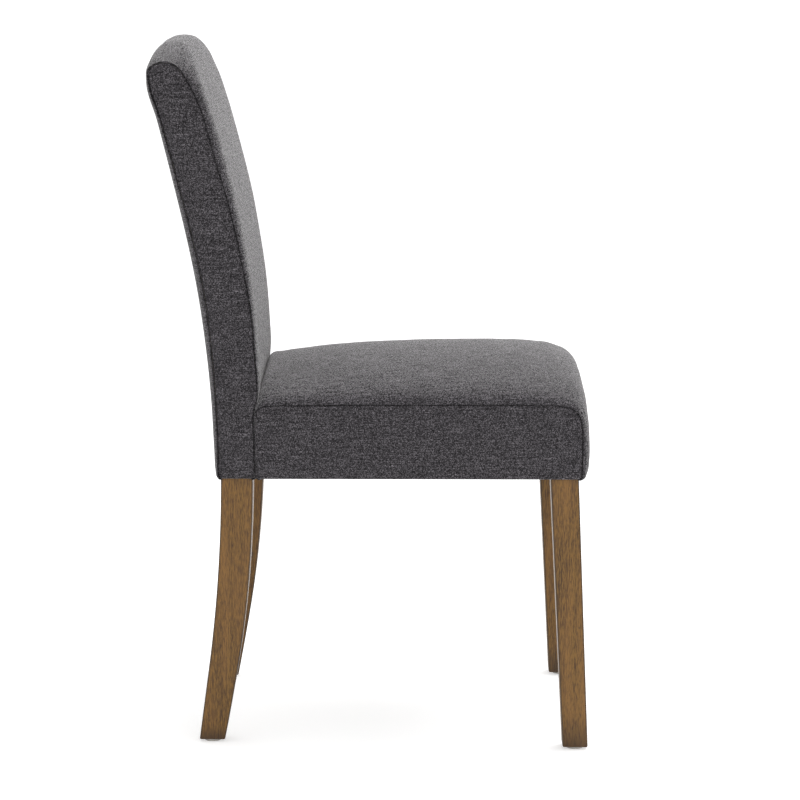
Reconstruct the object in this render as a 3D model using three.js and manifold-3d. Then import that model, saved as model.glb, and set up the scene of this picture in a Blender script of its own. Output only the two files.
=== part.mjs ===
// Upholstered parsons chair, in millimetres: X across, the front faces -Y, +Z up.
// The back is one unit with the rear legs. The boxed seat, with the front legs, bolts to it.
// While it is built, y = 0 is the joint between seat and back at the seat's bottom edge, and z = 0
// the floor.
import * as THREE from "three";
import { mergeVertices } from "three/addons/utils/BufferGeometryUtils.js";
import Module from "manifold-3d";

const wasm = await Module();
wasm.setup();

// Driving dimensions

// Fits, cuts and the sides of round pieces
const gap = 0.3;
const overrun = 30;
const weldDistance = 0.0001;
const boltSides = 12;
const headSides = 16;
const hexSides = 6;

// Height of the seat's bottom edge over the floor at the joint, and how far the seat tilts back
const legHeight = 379;
const seatTiltDegrees = 0.95;

// Covers: fabric with its backing, the turned-in edge underneath, and how far side panels sit inside
// the seam
const coverWall = 2;
const coverTurnIn = 22;
const seamInset = 1;
const edgeRound = 25;

// Seat: size at the side seams, and height of the crown at the middle
const seatDepth = 441;
const seatFrontWidth = 468.8;
const seatRearWidth = 411.3;
const seatSideHeight = 104;
const seatMidHeight = 156;

// Back: size at the side seams, height of the crown over the seat's bottom edge, and how far the top leans
const backWidth = 406;
const backThickness = 60;
const backHeight = 598;
const backLean = 107.5;

// Rear legs and stiles
const rearLegInset = 6.6;
const rearLegFootWidth = 33;
const rearLegTopWidth = 43;
const rearLegFootDepth = 35.8;
const rearLegTopDepth = 44.4;
const rearLegSweep = 31.2;
const stileTopWidth = 36;
const stileLowDepth = 50;
const stileTopDepth = 28;
const stileTopDrop = 58;
const stileThinningStart = 70;
const stileThinningEnd = 190;

// Front legs
const frontLegFoot = 35.3;
const frontLegTop = 39.2;
const frontLegReach = 1.8;
const frontLegRake = 18;
const legEdge = 3;

// Glides
const glideDiameter = 22;
const glideHeight = 3.5;
const glideEdge = 1;
const glideNailDiameter = 3;
const glideNailLength = 15;

// Rails of the seat and the back
const seatRailInset = 6.6;
const seatRailThickness = 20;
const seatRailHeight = 66;
const backRailThickness = 20;
const lowRailBottom = 6;
const lowRailHeight = 94;
const upperRailHeight = 50;
const topRailDrop = 6;
const railBite = 8;

// Corner blocks
const frontBlockThickness = 24;
const frontBlockHeight = 44;
const rearBlockLeg = 60;
const rearBlockHeight = 18;

// Webbing straps
const strapWidth = 50;
const strapThickness = 1.6;
const strapPitch = 90;
const strapEndInset = 5;
const strapLap = 20;
const strapRamp = 3;
const seatStrapCount = 3;
const crossStrapCount = 4;
const backStrapCount = 3;

// Dust cover
const dustCoverThickness = 1;
const dustCoverInset = 14;
const dustCoverNotchClearance = 4;
const dustCoverRearNotch = 62;

// Bolts between the seat and the back
const boltDiameter = 6;
const boltHeadDiameter = 12;
const boltHeadHeight = 4;
const boltSocketWidth = 4;
const boltSocketDepth = 2.5;
const boltFromLegSide = 27;
const boltLowHeight = 16;
const boltPitch = 20;
const boltHoleClearance = 1;
const washerDiameter = 15;
const washerThickness = 1.5;
const insertDiameter = 10;
const insertLength = 15;
const insertHoleDepth = 24;

// Hanger bolts of the front legs
const hangerDiameter = 8;
const hangerBite = 24;
const hangerEnd = 4;
const hangerNutWidth = 13;
const hangerNutHeight = 6.5;
const hangerHeight = 35;

// Shares that shape the outlines

// How the back leans: height share up the back, lean share
const leanShares = [
  [0, 0], [0.114, 0.011], [0.278, 0.072], [0.464, 0.207], [0.648, 0.445], [0.831, 0.716], [1, 1],
];

// Seat outline, from the rear's bottom edge up, over the top and down the front. Each row has the side
// seam's depth and height share, the middle's depth and height share, and how far in from the seam the
// rise spreads.
const seatShares = [
  [0.009, 0, 0, 0, 0],
  [0.01, 0.3, 0, 0.29, 0],
  [0.009, 0.72, 0, 0.61, 0],
  [0.003, 0.915, -0.008, 0.765, 0.4],
  [-0.013, 0.972, -0.021, 0.834, 0.8],
  [-0.05, 0.988, -0.056, 0.868, 1],
  [-0.136, 0.995, -0.14, 0.913, 1],
  [-0.29, 1, -0.29, 0.956, 1],
  [-0.454, 1, -0.454, 0.977, 1],
  [-0.612, 1, -0.617, 0.982, 1],
  [-0.757, 1, -0.775, 0.974, 1],
  [-0.882, 0.996, -0.898, 0.944, 1],
  [-0.95, 0.982, -0.972, 0.89, 1],
  [-0.985, 0.94, -1.0175, 0.811, 1],
  [-1.004, 0.85, -1.0295, 0.696, 0.55],
  [-1.012, 0.7, -1.0315, 0.556, 0.15],
  [-1.0135, 0.481, -1.034, 0.359, 0],
  [-1.0125, 0.212, -1.0335, 0.167, 0],
  [-1.011, 0.058, -1.0285, 0.058, 0],
  [-1.008, 0, -1.0205, 0, 0],
];

// Back outline, from the rear's bottom edge up, over the top and down the front to the joint. Each row
// has the side seam's height and thickness share, the middle's height and thickness share, and the spread.
const backShares = [
  [0, 0.86, 0, 0.89, 0],
  [0.012, 0.925, 0.015, 0.985, 0],
  [0.069, 0.935, 0.069, 1.02, 0],
  [0.17, 0.935, 0.17, 1.035, 0],
  [0.279, 0.933, 0.278, 1.06, 0],
  [0.417, 0.933, 0.417, 1.085, 0],
  [0.557, 0.933, 0.556, 1.08, 0],
  [0.695, 0.937, 0.694, 1.055, 0],
  [0.831, 0.933, 0.831, 1.03, 0],
  [0.917, 0.933, 0.914, 1, 0],
  [0.942, 0.85, 0.947, 0.887, 0.1],
  [0.953, 0.705, 0.973, 0.72, 0.35],
  [0.959, 0.51, 0.9925, 0.49, 0.55],
  [0.958, 0.345, 0.9985, 0.23, 0.6],
  [0.951, 0.225, 0.9945, 0, 0.5],
  [0.94, 0.145, 0.982, -0.105, 0.35],
  [0.926, 0.085, 0.96, -0.185, 0.2],
  [0.902, 0.022, 0.929, -0.22, 0.07],
  [0.875, -0.03, 0.896, -0.25, 0],
  [0.832, -0.055, 0.838, -0.27, 0],
  [0.741, -0.055, 0.739, -0.28, 0],
  [0.649, -0.09, 0.648, -0.27, 0],
  [0.509, -0.07, 0.511, -0.195, 0],
  [0.373, -0.075, 0.374, -0.145, 0],
  [0.28, -0.045, 0.281, -0.11, 0],
  [0.203, -0.035, 0.236, -0.08, 0],
];

// The stretch of the back outline that the seat covers, whose thickness shares start from the joint plane
const jointShares = [
  [0.179, 0.03, 0.207, -0.01, 0],
  [0.158, 0.085, 0.18, 0, 0],
  [0.085, 0.1, 0.085, 0, 0],
  [0.012, 0.1, 0.012, 0, 0],
  [0, 0.11, 0, 0.012, 0],
];

// Where each section of a padded body stands, as shares of its half width
const seatStationShares = [0.35, 0.62, 0.8, 0.9, 0.955, 0.985, 1];
const backStationShares = [0.4, 0.75, 0.9, 0.955, 0.985, 1];
const backCrownShare = 0.2;

// The power of a rise's curve beside the seam, 2 for an ellipse and more for a squarer edge. The back is
// square in front, and an ellipse from this share of its thickness on.
const ellipseCorner = 2;
const squareCorner = 3;
const ellipseShare = 0.3;

// How much flatter a rise starts at the seam where it spreads
const seatSoftness = 0;
const backSoftness = 0.8;

// Height shares of the leg's sections below the seat, and of the stile's above it
const legSectionShares = [0, 0.13, 0.26, 0.4, 0.54, 0.68, 0.84, 1];
const stileSectionShares = [0.13, 0.2, 0.27, 0.35, 0.45, 0.58, 0.72, 0.86, 1];
const legTaperPower = 2.7;
const sweepSlope = 0.13;

// Worked-out values

const seatTilt = THREE.MathUtils.degToRad(seatTiltDegrees);
const seatFrame = new THREE.Matrix4()
  .makeTranslation(0, 0, legHeight)
  .multiply(new THREE.Matrix4().makeRotationX(-seatTilt));
const softInset = coverWall + gap;
const railBottom = coverWall + gap;
const railTop = railBottom + seatRailHeight;
const strapLevel = railTop + gap + strapThickness / 2;
const strapStep = strapThickness + gap;
const foamBottom = railTop + 2 * strapStep + gap;
const frameRear = -(softInset + gap);
const frameFront = -(seatDepth + frontLegReach);
const rearRailFront = frameRear - seatRailThickness;
const rearLegOuter = backWidth / 2 - rearLegInset;
const jointWood = coverWall + 3 * gap;
const shoulderBottom = legHeight + coverWall + gap;
const shoulderTop = shoulderBottom + gap;
const footHeight = glideHeight + gap;
const stileHeight = backHeight - stileTopDrop;
const lowRailTop = lowRailBottom + lowRailHeight;
const topRailBottom = stileHeight - topRailDrop - upperRailHeight;
const topRailTop = topRailBottom + upperRailHeight;
const middleRailBottom = (lowRailTop + topRailBottom - upperRailHeight) / 2;
const middleRailTop = middleRailBottom + upperRailHeight;

// Colours and finishes
const finishes = {
  fabric: new THREE.MeshStandardMaterial({ color: 0x5b595c, roughness: 0.95, metalness: 0 }),
  wood: new THREE.MeshStandardMaterial({ color: 0x7a5c3d, roughness: 0.5, metalness: 0 }),
  innerWood: new THREE.MeshStandardMaterial({ color: 0xc9a878, roughness: 0.7, metalness: 0 }),
  foam: new THREE.MeshStandardMaterial({ color: 0xe9e0c4, roughness: 0.95, metalness: 0 }),
  webbing: new THREE.MeshStandardMaterial({ color: 0x3a3836, roughness: 0.9, metalness: 0 }),
  dustCloth: new THREE.MeshStandardMaterial({ color: 0x1d1d1f, roughness: 0.95, metalness: 0 }),
  steel: new THREE.MeshStandardMaterial({ color: 0xb9bbbe, roughness: 0.35, metalness: 1 }),
  glide: new THREE.MeshStandardMaterial({ color: 0xe4e3de, roughness: 0.45, metalness: 0 }),
};

// Solids

function solidOf(geometry) {
  const bare = geometry.clone();
  bare.deleteAttribute("normal");
  bare.deleteAttribute("uv");
  const merged = mergeVertices(bare, weldDistance);
  const mesh = new wasm.Mesh({
    numProp: 3,
    vertProperties: merged.attributes.position.array,
    triVerts: new Uint32Array(merged.index.array),
  });
  return new wasm.Manifold(mesh);
}

function geometryOf(solid) {
  const mesh = solid.getMesh();
  const geometry = new THREE.BufferGeometry();
  geometry.setAttribute("position", new THREE.BufferAttribute(mesh.vertProperties, 3));
  geometry.setIndex(new THREE.BufferAttribute(mesh.triVerts, 1));
  const faceted = geometry.toNonIndexed();
  faceted.computeVertexNormals();
  return faceted;
}

// A straight solid from an outline: axis "z" takes [x, y] points, "x" takes [y, z] and "y" takes [z, x].
function prism(axis, outline, from, to) {
  const shape = new THREE.Shape(outline.map(([a, b]) => new THREE.Vector2(a, b)));
  const geometry = new THREE.ExtrudeGeometry(shape, { depth: to - from, bevelEnabled: false });
  geometry.translate(0, 0, from);
  const turns = {
    x: new THREE.Matrix4().set(0, 0, 1, 0, 1, 0, 0, 0, 0, 1, 0, 0, 0, 0, 0, 1),
    y: new THREE.Matrix4().set(0, 1, 0, 0, 0, 0, 1, 0, 1, 0, 0, 0, 0, 0, 0, 1),
    z: new THREE.Matrix4(),
  };
  return solidOf(geometry.applyMatrix4(turns[axis]));
}

function box(min, max) {
  const size = max.map((value, i) => value - min[i]);
  const middle = max.map((value, i) => (value + min[i]) / 2);
  return solidOf(new THREE.BoxGeometry(...size).translate(...middle));
}

// A turned solid about the line through a point along a direction, from [radius, distance] points.
function turned(profile, point, direction, segments) {
  const points = profile.map(([radius, along]) => new THREE.Vector2(radius, along));
  const geometry = new THREE.LatheGeometry(points, segments);
  const up = new THREE.Vector3(0, 1, 0);
  geometry.applyQuaternion(new THREE.Quaternion().setFromUnitVectors(up, direction.clone().normalize()));
  return solidOf(geometry.translate(point.x, point.y, point.z));
}

function rod(radius, from, to, point, direction, segments) {
  return turned([[0, from], [radius, from], [radius, to], [0, to]], point, direction, segments);
}

function ring(inner, outer, from, to, point, direction, segments) {
  const profile = [[inner, from], [outer, from], [outer, to], [inner, to], [inner, from]];
  return turned(profile, point, direction, segments);
}

// A closed skin over a row of rings of equal count. Rings run anticlockwise seen against the sweep.
function loft(rings, flatten) {
  const count = rings[0].length;
  const last = (rings.length - 1) * count;
  const index = [];
  for (let i = 0; i < rings.length - 1; i++) {
    for (let j = 0; j < count; j++) {
      const a = i * count + j;
      const b = i * count + ((j + 1) % count);
      index.push(a, b, b + count, a, b + count, a + count);
    }
  }
  for (const [start, points, flip] of [[0, rings[0], true], [last, rings.at(-1), false]]) {
    const flat = points.map(flatten);
    for (const [a, b, c] of THREE.ShapeUtils.triangulateShape(flat, [])) {
      const turnsLeft = flat[b].clone().sub(flat[a]).cross(flat[c].clone().sub(flat[a])) > 0;
      const face = turnsLeft === flip ? [a, c, b] : [a, b, c];
      index.push(...face.map((corner) => start + corner));
    }
  }
  const geometry = new THREE.BufferGeometry();
  geometry.setAttribute("position", new THREE.Float32BufferAttribute(rings.flat().flatMap((p) => [...p]), 3));
  geometry.setIndex(index);
  return solidOf(geometry);
}

const alongX = (point) => new THREE.Vector2(point.y, point.z);
const alongZ = (point) => new THREE.Vector2(point.x, point.y);

// A smooth value through rows of [place, value].
function through(rows, place) {
  const i = Math.min(Math.max(rows.findLastIndex(([at]) => at <= place), 0), rows.length - 2);
  const slopeAt = (k) => {
    const before = rows[Math.max(k - 1, 0)];
    const after = rows[Math.min(k + 1, rows.length - 1)];
    return (after[1] - before[1]) / (after[0] - before[0]);
  };
  const span = rows[i + 1][0] - rows[i][0];
  const t = (place - rows[i][0]) / span;
  if (t > 1) return rows[i + 1][1] + slopeAt(i + 1) * (place - rows[i + 1][0]);
  const rise = (3 - 2 * t) * t * t;
  const start = t * (1 - t) * (1 - t) * slopeAt(i) * span;
  const end = t * t * (t - 1) * slopeAt(i + 1) * span;
  return rows[i][1] * (1 - rise) + rows[i + 1][1] * rise + start + end;
}

// Padded bodies

const leanAt = (z) => backLean * through(leanShares, Math.max(z - legHeight, 0) / backHeight);
const jointAt = (z) => gap + (z - legHeight) * Math.tan(seatTilt);
const seatHalfWidth = (y) => seatRearWidth / 2 + ((seatRearWidth - seatFrontWidth) / 2) * (y / seatDepth);
const backHalfWidth = () => backWidth / 2;

const seatRows = seatShares.map(([seamY, seamZ, midY, midZ, spread]) => ({
  seam: new THREE.Vector2(seamY * seatDepth - gap, seamZ * seatSideHeight),
  mid: new THREE.Vector2(midY * seatDepth - gap, midZ * seatMidHeight),
  spread,
  crown: 0,
  corner: ellipseCorner,
  softness: seatSoftness,
}));

function backPoint(heightShare, thicknessShare, lineAt) {
  const z = legHeight + heightShare * backHeight;
  return new THREE.Vector2(lineAt(z) + thicknessShare * backThickness, z);
}

function backCorner(thicknessShare) {
  const softened = THREE.MathUtils.clamp(thicknessShare / ellipseShare, 0, 1);
  return THREE.MathUtils.lerp(squareCorner, ellipseCorner, softened);
}

function backRowsOf(shares, lineAt, crown) {
  return shares.map(([seamZ, seamY, midZ, midY, spread]) => ({
    seam: backPoint(seamZ, seamY, lineAt),
    mid: backPoint(midZ, midY, lineAt),
    spread,
    crown,
    corner: backCorner(seamY),
    softness: backSoftness,
  }));
}

const backRows = [
  ...backRowsOf(backShares, (z) => gap + leanAt(z), backCrownShare),
  ...backRowsOf(jointShares, jointAt, 0),
];

// Moves a closed anticlockwise outline in by a distance, with mitred corners.
function insetOutline(points, distance) {
  return points.map((point, i) => {
    const before = points.at(i - 1);
    const after = points[(i + 1) % points.length];
    const first = point.clone().sub(before).normalize();
    const second = after.clone().sub(point).normalize();
    const inwards = new THREE.Vector2(-first.y - second.y, first.x + second.x);
    return point.clone().addScaledVector(inwards, distance / (1 + first.dot(second)));
  });
}

// The outline that a padded body has at a share of its half width, and how far in from the seam it stands.
function outlineAt(rows, halfWidthAt, share) {
  return rows.map(({ seam, mid, spread, crown, corner, softness }) => {
    const halfWidth = halfWidthAt(seam.x);
    const reach = edgeRound + spread * (halfWidth - edgeRound);
    const left = 1 - Math.min(((1 - Math.abs(share)) * halfWidth) / reach, 1);
    const round = (1 - left ** corner) ** (1 / corner + softness * spread);
    const rise = (1 - crown) * round + crown * (1 - share * share);
    return seam.clone().lerp(mid, rise);
  });
}

function paddedBody(rows, halfWidthAt, stationShares, inset) {
  const mirrored = stationShares.map((share) => -share).reverse();
  const rings = [...mirrored, 0, ...stationShares].map((share) =>
    insetOutline(outlineAt(rows, halfWidthAt, share), inset).map(
      (p) => new THREE.Vector3(share * (halfWidthAt(p.x) - inset), p.x, p.y),
    ),
  );
  return loft(rings, alongX);
}

// A flat panel inside the side seam, grown all round to make the cutter for its seat.
function sidePanel(rows, halfWidthAt, side, grow, reach) {
  const outline = insetOutline(rows.map(({ seam }) => seam), seamInset - grow);
  const inner = (y) => halfWidthAt(y) - coverWall - grow;
  const outer = (y) => halfWidthAt(y) + reach;
  const places = side > 0 ? [inner, outer] : [outer, inner];
  const rings = places.map((place) => outline.map((p) => new THREE.Vector3(side * place(p.x), p.x, p.y)));
  return loft(rings, alongX);
}

// Legs

// One section of a leg: an outline with cut corners, given its four corners anticlockwise from -X -Y.
function legSection(corners, edge, z) {
  return corners.flatMap((corner, i) => {
    const before = corners.at(i - 1).clone().sub(corner).setLength(edge);
    const after = corners[(i + 1) % corners.length].clone().sub(corner).setLength(edge);
    return [corner.clone().add(before), corner.clone().add(after)].map((p) => new THREE.Vector3(p.x, p.y, z));
  });
}

function sortedCorners(side, outerFront, outerRear, innerFront, innerRear, front, rear) {
  const corners = [
    new THREE.Vector2(side * innerFront, front),
    new THREE.Vector2(side * outerFront, front),
    new THREE.Vector2(side * outerRear, rear),
    new THREE.Vector2(side * innerRear, rear),
  ];
  return side > 0 ? corners : [corners[1], corners[0], corners[3], corners[2]];
}

const seatRailSide = (y) => seatHalfWidth(y) - seatRailInset;
const seatRailInner = (y) => seatRailSide(y) - seatRailThickness;

// How far the leg has swept rearwards: in a bend from the seat down, and then straight to the foot.
function sweepAt(z) {
  const drop = Math.max(legHeight - z, 0);
  const bendLength = 2 * (legHeight - footHeight - rearLegSweep / sweepSlope);
  const bent = Math.min(drop, bendLength);
  return sweepSlope * ((bent * bent) / (2 * bendLength) + drop - bent);
}

// The leg stands on a small shoulder inside the cover, over which the stile is deeper.
function legDepthAt(z) {
  if (z < shoulderTop) {
    const u = Math.min((z - footHeight) / (legHeight - footHeight), 1);
    return THREE.MathUtils.lerp(rearLegTopDepth, rearLegFootDepth, (1 - u) ** legTaperPower);
  }
  const start = legHeight + stileThinningStart;
  const end = legHeight + stileThinningEnd;
  return THREE.MathUtils.lerp(stileLowDepth, stileTopDepth, THREE.MathUtils.smoothstep(z, start, end));
}

function legWidthAt(z) {
  if (z > legHeight) {
    return THREE.MathUtils.lerp(rearLegTopWidth, stileTopWidth, (z - legHeight) / stileHeight);
  }
  return THREE.MathUtils.mapLinear(z, footHeight, legHeight, rearLegFootWidth, rearLegTopWidth);
}

// The rear legs have a section at each of these heights, and their lines run straight between them.
const sectionHeights = [
  ...legSectionShares.map((share) => footHeight + share * (legHeight - footHeight)),
  shoulderBottom,
  shoulderTop,
  ...stileSectionShares.map((share) => legHeight + share * stileHeight),
];
const sectionsBetween = (from, to) => [from, ...sectionHeights.filter((z) => z > from && z < to), to];

function straightBetweenSections(valueAt) {
  return (z) => {
    const i = Math.min(Math.max(sectionHeights.findLastIndex((at) => at <= z), 0), sectionHeights.length - 2);
    const [low, high] = sectionHeights.slice(i, i + 2);
    return THREE.MathUtils.mapLinear(z, low, high, valueAt(low), valueAt(high));
  };
}

const rearLineAt = (z) => jointWood + stileLowDepth + leanAt(z) + sweepAt(z);
const woodRearAt = straightBetweenSections(rearLineAt);
const legDepth = straightBetweenSections(legDepthAt);
const woodFrontAt = (z) => woodRearAt(z) - legDepth(z);

function rearLegBlank(side, grow) {
  const rings = sectionsBetween(footHeight - grow, legHeight + stileHeight + grow).map((z) => {
    const inner = rearLegOuter - legWidthAt(z) - grow;
    const outer = rearLegOuter + grow;
    const front = woodFrontAt(z) - grow;
    const rear = woodRearAt(z) + grow;
    return legSection(sortedCorners(side, outer, outer, inner, inner, front, rear), legEdge, z);
  });
  return loft(rings, alongZ);
}

// The front leg in the seat's frame: square to the rails inside the seat, raked and tapered below it.
function frontLegFootSection(side, grow) {
  const toSeat = seatFrame.clone().invert();
  const front = frameFront - frontLegRake - grow;
  const rear = frameFront - frontLegRake + frontLegFoot + grow;
  const outerFront = seatRailSide(frameFront) + grow;
  const outerRear = seatRailSide(frameFront + frontLegFoot) + grow;
  const inner = [outerFront, outerRear].map((outer) => outer - frontLegFoot - 2 * grow);
  const corners = sortedCorners(side, outerFront, outerRear, inner[0], inner[1], front, rear);
  return legSection(corners, legEdge, footHeight - grow).map((p) => p.applyMatrix4(toSeat));
}

function frontLegBlank(side, grow) {
  const front = frameFront - grow;
  const rear = frameFront + frontLegTop + grow;
  const outerFront = seatRailSide(frameFront) + grow;
  const outerRear = seatRailSide(frameFront + frontLegTop) + grow;
  const inner = [outerFront, outerRear].map((outer) => outer - frontLegTop - 2 * grow);
  const corners = sortedCorners(side, outerFront, outerRear, inner[0], inner[1], front, rear);
  const upper = [0, railTop + grow].map((z) => legSection(corners, legEdge, z));
  return loft([frontLegFootSection(side, grow), ...upper], alongZ);
}

// Fasteners in the seat's frame

const rearwards = new THREE.Vector3(0, 1, 0);
const boltPlaces = [-1, 1].flatMap((side) =>
  [0, 1].map((level) => ({
    name: (side < 0 ? "right" : "left") + (level ? "_upper" : "_lower"),
    side,
    point: new THREE.Vector3(side * (rearLegOuter - boltFromLegSide), 0, boltLowHeight + level * boltPitch),
  })),
);
const washerFront = rearRailFront - gap - washerThickness;
const headSeat = washerFront - gap;

function boltClearance(point) {
  return rod(boltDiameter / 2 + boltHoleClearance, -overrun, overrun, point, rearwards, boltSides);
}

function insertHole(point) {
  return rod(insertDiameter / 2 + gap, -overrun, jointWood + insertHoleDepth, point, rearwards, boltSides);
}

function seatBolt(point) {
  const tip = jointWood + insertLength;
  const shank = rod(boltDiameter / 2, headSeat, tip, point, rearwards, boltSides);
  const head = rod(boltHeadDiameter / 2, headSeat - boltHeadHeight, headSeat, point, rearwards, headSides);
  const socketEnd = headSeat - boltHeadHeight + boltSocketDepth;
  const socket = rod(boltSocketWidth / 2, headSeat - overrun, socketEnd, point, rearwards, hexSides);
  return shank.add(head).subtract(socket);
}

function seatWasher(point) {
  const inner = boltDiameter / 2 + gap;
  return ring(inner, washerDiameter / 2, washerFront, rearRailFront - gap, point, rearwards, headSides);
}

function insertNut(point) {
  const from = jointWood + gap;
  const inner = boltDiameter / 2 + gap;
  return ring(inner, insertDiameter / 2, from, from + insertLength, point, rearwards, boltSides);
}

// A front leg's inner corner, and the line that its hanger bolt takes from there into the seat
function hangerLine(side) {
  const y = frameFront + frontLegTop;
  const corner = new THREE.Vector3(side * (seatRailSide(y) - frontLegTop), y, hangerHeight);
  return { corner, inwards: new THREE.Vector3(-side, 1, 0).normalize() };
}

const blockStart = 2 * gap;
const blockEnd = blockStart + frontBlockThickness;
const hangerWasherEnd = blockEnd + gap + washerThickness;
const hangerNutEnd = hangerWasherEnd + gap + hangerNutHeight;

function hangerRod(side, radius, from, to) {
  const { corner, inwards } = hangerLine(side);
  return rod(radius, from, to, corner, inwards, boltSides);
}

function hangerWasher(side) {
  const { corner, inwards } = hangerLine(side);
  const inner = hangerDiameter / 2 + gap;
  return ring(inner, washerDiameter / 2, blockEnd + gap, hangerWasherEnd, corner, inwards, headSides);
}

function hangerNut(side) {
  const { corner, inwards } = hangerLine(side);
  const inner = hangerDiameter / 2 + gap;
  const outer = hangerNutWidth / Math.sqrt(3);
  const body = rod(outer, hangerWasherEnd + gap, hangerNutEnd, corner, inwards, hexSides);
  return body.subtract(hangerRod(side, inner, 0, hangerNutEnd + overrun));
}

// Seat frame pieces, in the seat's frame

function seatSideRail(side, grow) {
  const front = frameFront + frontLegTop + gap;
  const outline = [
    [side * (seatRailInner(front) - grow), front],
    [side * (seatRailSide(front) + grow), front],
    [side * (seatRailSide(frameRear) + grow), frameRear],
    [side * (seatRailInner(frameRear) - grow), frameRear],
  ];
  return prism("z", outline, railBottom, railTop);
}

function seatCrossRail(front, rear, insideOf, grow) {
  const corners = [[-1, front], [1, front], [1, rear], [-1, rear]];
  const outline = corners.map(([side, y]) => [side * (insideOf(y) + grow), y + (y === front ? -grow : grow)]);
  return prism("z", outline, railBottom, railTop);
}

const frontLegs = { "-1": frontLegBlank(-1, gap), 1: frontLegBlank(1, gap) };
const bothFrontLegs = frontLegs[-1].add(frontLegs[1]);
const betweenFrontLegs = (y) => seatRailSide(y) - frontLegTop + railBite;
const betweenSideRails = (y) => seatRailInner(y) - gap;

function frontRail(grow) {
  return seatCrossRail(frameFront, frameFront + seatRailThickness, betweenFrontLegs, grow);
}

function rearRail(grow) {
  return seatCrossRail(rearRailFront, frameRear, betweenSideRails, grow);
}

function frontCornerBlock(side) {
  const { corner, inwards } = hangerLine(side);
  const across = new THREE.Vector3(inwards.y, -inwards.x, 0);
  const spare = (frontLegTop - seatRailThickness + railBite) * Math.SQRT2;
  const places = [[blockStart, -1], [blockEnd, -1], [blockEnd, 1], [blockStart, 1]];
  const outline = places.map(([along, end]) => {
    const p = corner.clone().addScaledVector(inwards, along).addScaledVector(across, end * (spare + along));
    return [p.x, p.y];
  });
  const from = hangerHeight - frontBlockHeight / 2;
  const blank = prism("z", outline, from, from + frontBlockHeight);
  const rails = seatSideRail(side, gap).add(frontRail(gap)).add(frontLegs[side]);
  const bore = hangerRod(side, hangerDiameter / 2 + boltHoleClearance, 0, blockEnd + overrun);
  return blank.subtract(rails).subtract(bore);
}

function rearCornerBlock(side) {
  const x = seatRailInner(rearRailFront) + railBite;
  const y = rearRailFront + railBite;
  const reach = rearBlockLeg + railBite;
  const outline = [[side * x, y], [side * (x - reach), y], [side * x, y - reach]];
  const blank = prism("z", outline, railTop - rearBlockHeight, railTop);
  return blank.subtract(seatSideRail(side, gap)).subtract(rearRail(gap));
}

const spreadPlaces = (count, pitch) => Array.from({ length: count }, (_, i) => (i - (count - 1) / 2) * pitch);

function longStrap(x) {
  const from = frameFront + strapEndInset;
  const to = frameRear - strapEndInset;
  const low = strapLevel - strapThickness / 2;
  return box([x - strapWidth / 2, from, low], [x + strapWidth / 2, to, low + strapThickness]);
}

// A cross strap goes over and under the long ones in turn.
function crossStrap(row) {
  const y = -(seatDepth * (row + 1)) / (crossStrapCount + 1);
  const end = seatRailSide(y + strapWidth / 2) - strapEndInset;
  const halfRun = strapWidth / 2 + strapRamp;
  const railEdge = seatRailInner(y + strapWidth / 2) - strapRamp;
  const line = [[-end, strapLevel], [-railEdge, strapLevel]];
  spreadPlaces(seatStrapCount, strapPitch).forEach((x, i) => {
    const level = strapLevel + ((i + row) % 2 ? -strapStep : strapStep);
    line.push([x - halfRun, level], [x + halfRun, level]);
  });
  line.push([railEdge, strapLevel], [end, strapLevel]);
  const upper = line.map(([x, z]) => [z + strapThickness / 2, x]);
  const lower = line.map(([x, z]) => [z - strapThickness / 2, x]).reverse();
  return prism("y", [...upper, ...lower], y - strapWidth / 2, y + strapWidth / 2);
}

// Seat upholstery, in the seat's frame

const seatBody = (inset) => paddedBody(seatRows, seatHalfWidth, seatStationShares, inset);
const seatSoft = seatBody(softInset);
const far = 2 * (seatDepth + seatFrontWidth);

function below(z) {
  return box([-far, -far, -far], [far, far, z]);
}

const seatFoam = seatSoft.subtract(below(foamBottom));
const seatEdges = seatSoft.intersect(below(foamBottom - gap));

function seatSidePadding(side) {
  const line = (y) => side * (seatRailSide(y) + gap);
  const reach = side * far;
  const outline = [[line(frameFront), frameFront], [reach, frameFront], [reach, far], [line(far), far]];
  return seatEdges.intersect(prism("z", outline, -far, far));
}

function seatFrontPadding() {
  return seatEdges.intersect(box([-far, -far, -far], [far, frameFront - gap, far]));
}

function seatCover() {
  const turnIn = (y) => seatHalfWidth(y) - coverTurnIn;
  const front = coverTurnIn - seatDepth;
  const corners = [[-1, front], [1, front], [1, -coverTurnIn], [-1, -coverTurnIn]];
  const opening = prism("z", corners.map(([side, y]) => [side * turnIn(y), y]), -overrun, overrun);
  const panels = [-1, 1].map((side) => sidePanel(seatRows, seatHalfWidth, side, gap, overrun));
  const cutters = [seatBody(coverWall), opening, ...panels, bothFrontLegs];
  cutters.push(...boltPlaces.map(({ point }) => boltClearance(point)));
  return cutters.reduce((cover, cutter) => cover.subtract(cutter), seatBody(0));
}

function dustCover() {
  const edge = (y) => seatHalfWidth(y) - dustCoverInset;
  const front = dustCoverInset - seatDepth;
  const rear = -dustCoverInset;
  const legBack = frameFront + frontLegTop + dustCoverNotchClearance;
  const legSide = seatRailSide(legBack) - frontLegTop - dustCoverNotchClearance;
  const notchFront = rear - dustCoverRearNotch;
  const notchSide = edge(rear) - dustCoverRearNotch;
  const half = [
    [legSide, front],
    [legSide, legBack],
    [edge(legBack), legBack],
    [edge(notchFront), notchFront],
    [notchSide, notchFront],
    [notchSide, rear],
  ];
  const other = half.map(([x, y]) => [-x, y]).reverse();
  return prism("z", [...half, ...other], -gap - dustCoverThickness, -gap);
}

// Back frame and upholstery

const rearLegs = { "-1": rearLegBlank(-1, gap), 1: rearLegBlank(1, gap) };
const bothRearLegs = rearLegs[-1].add(rearLegs[1]);

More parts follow.
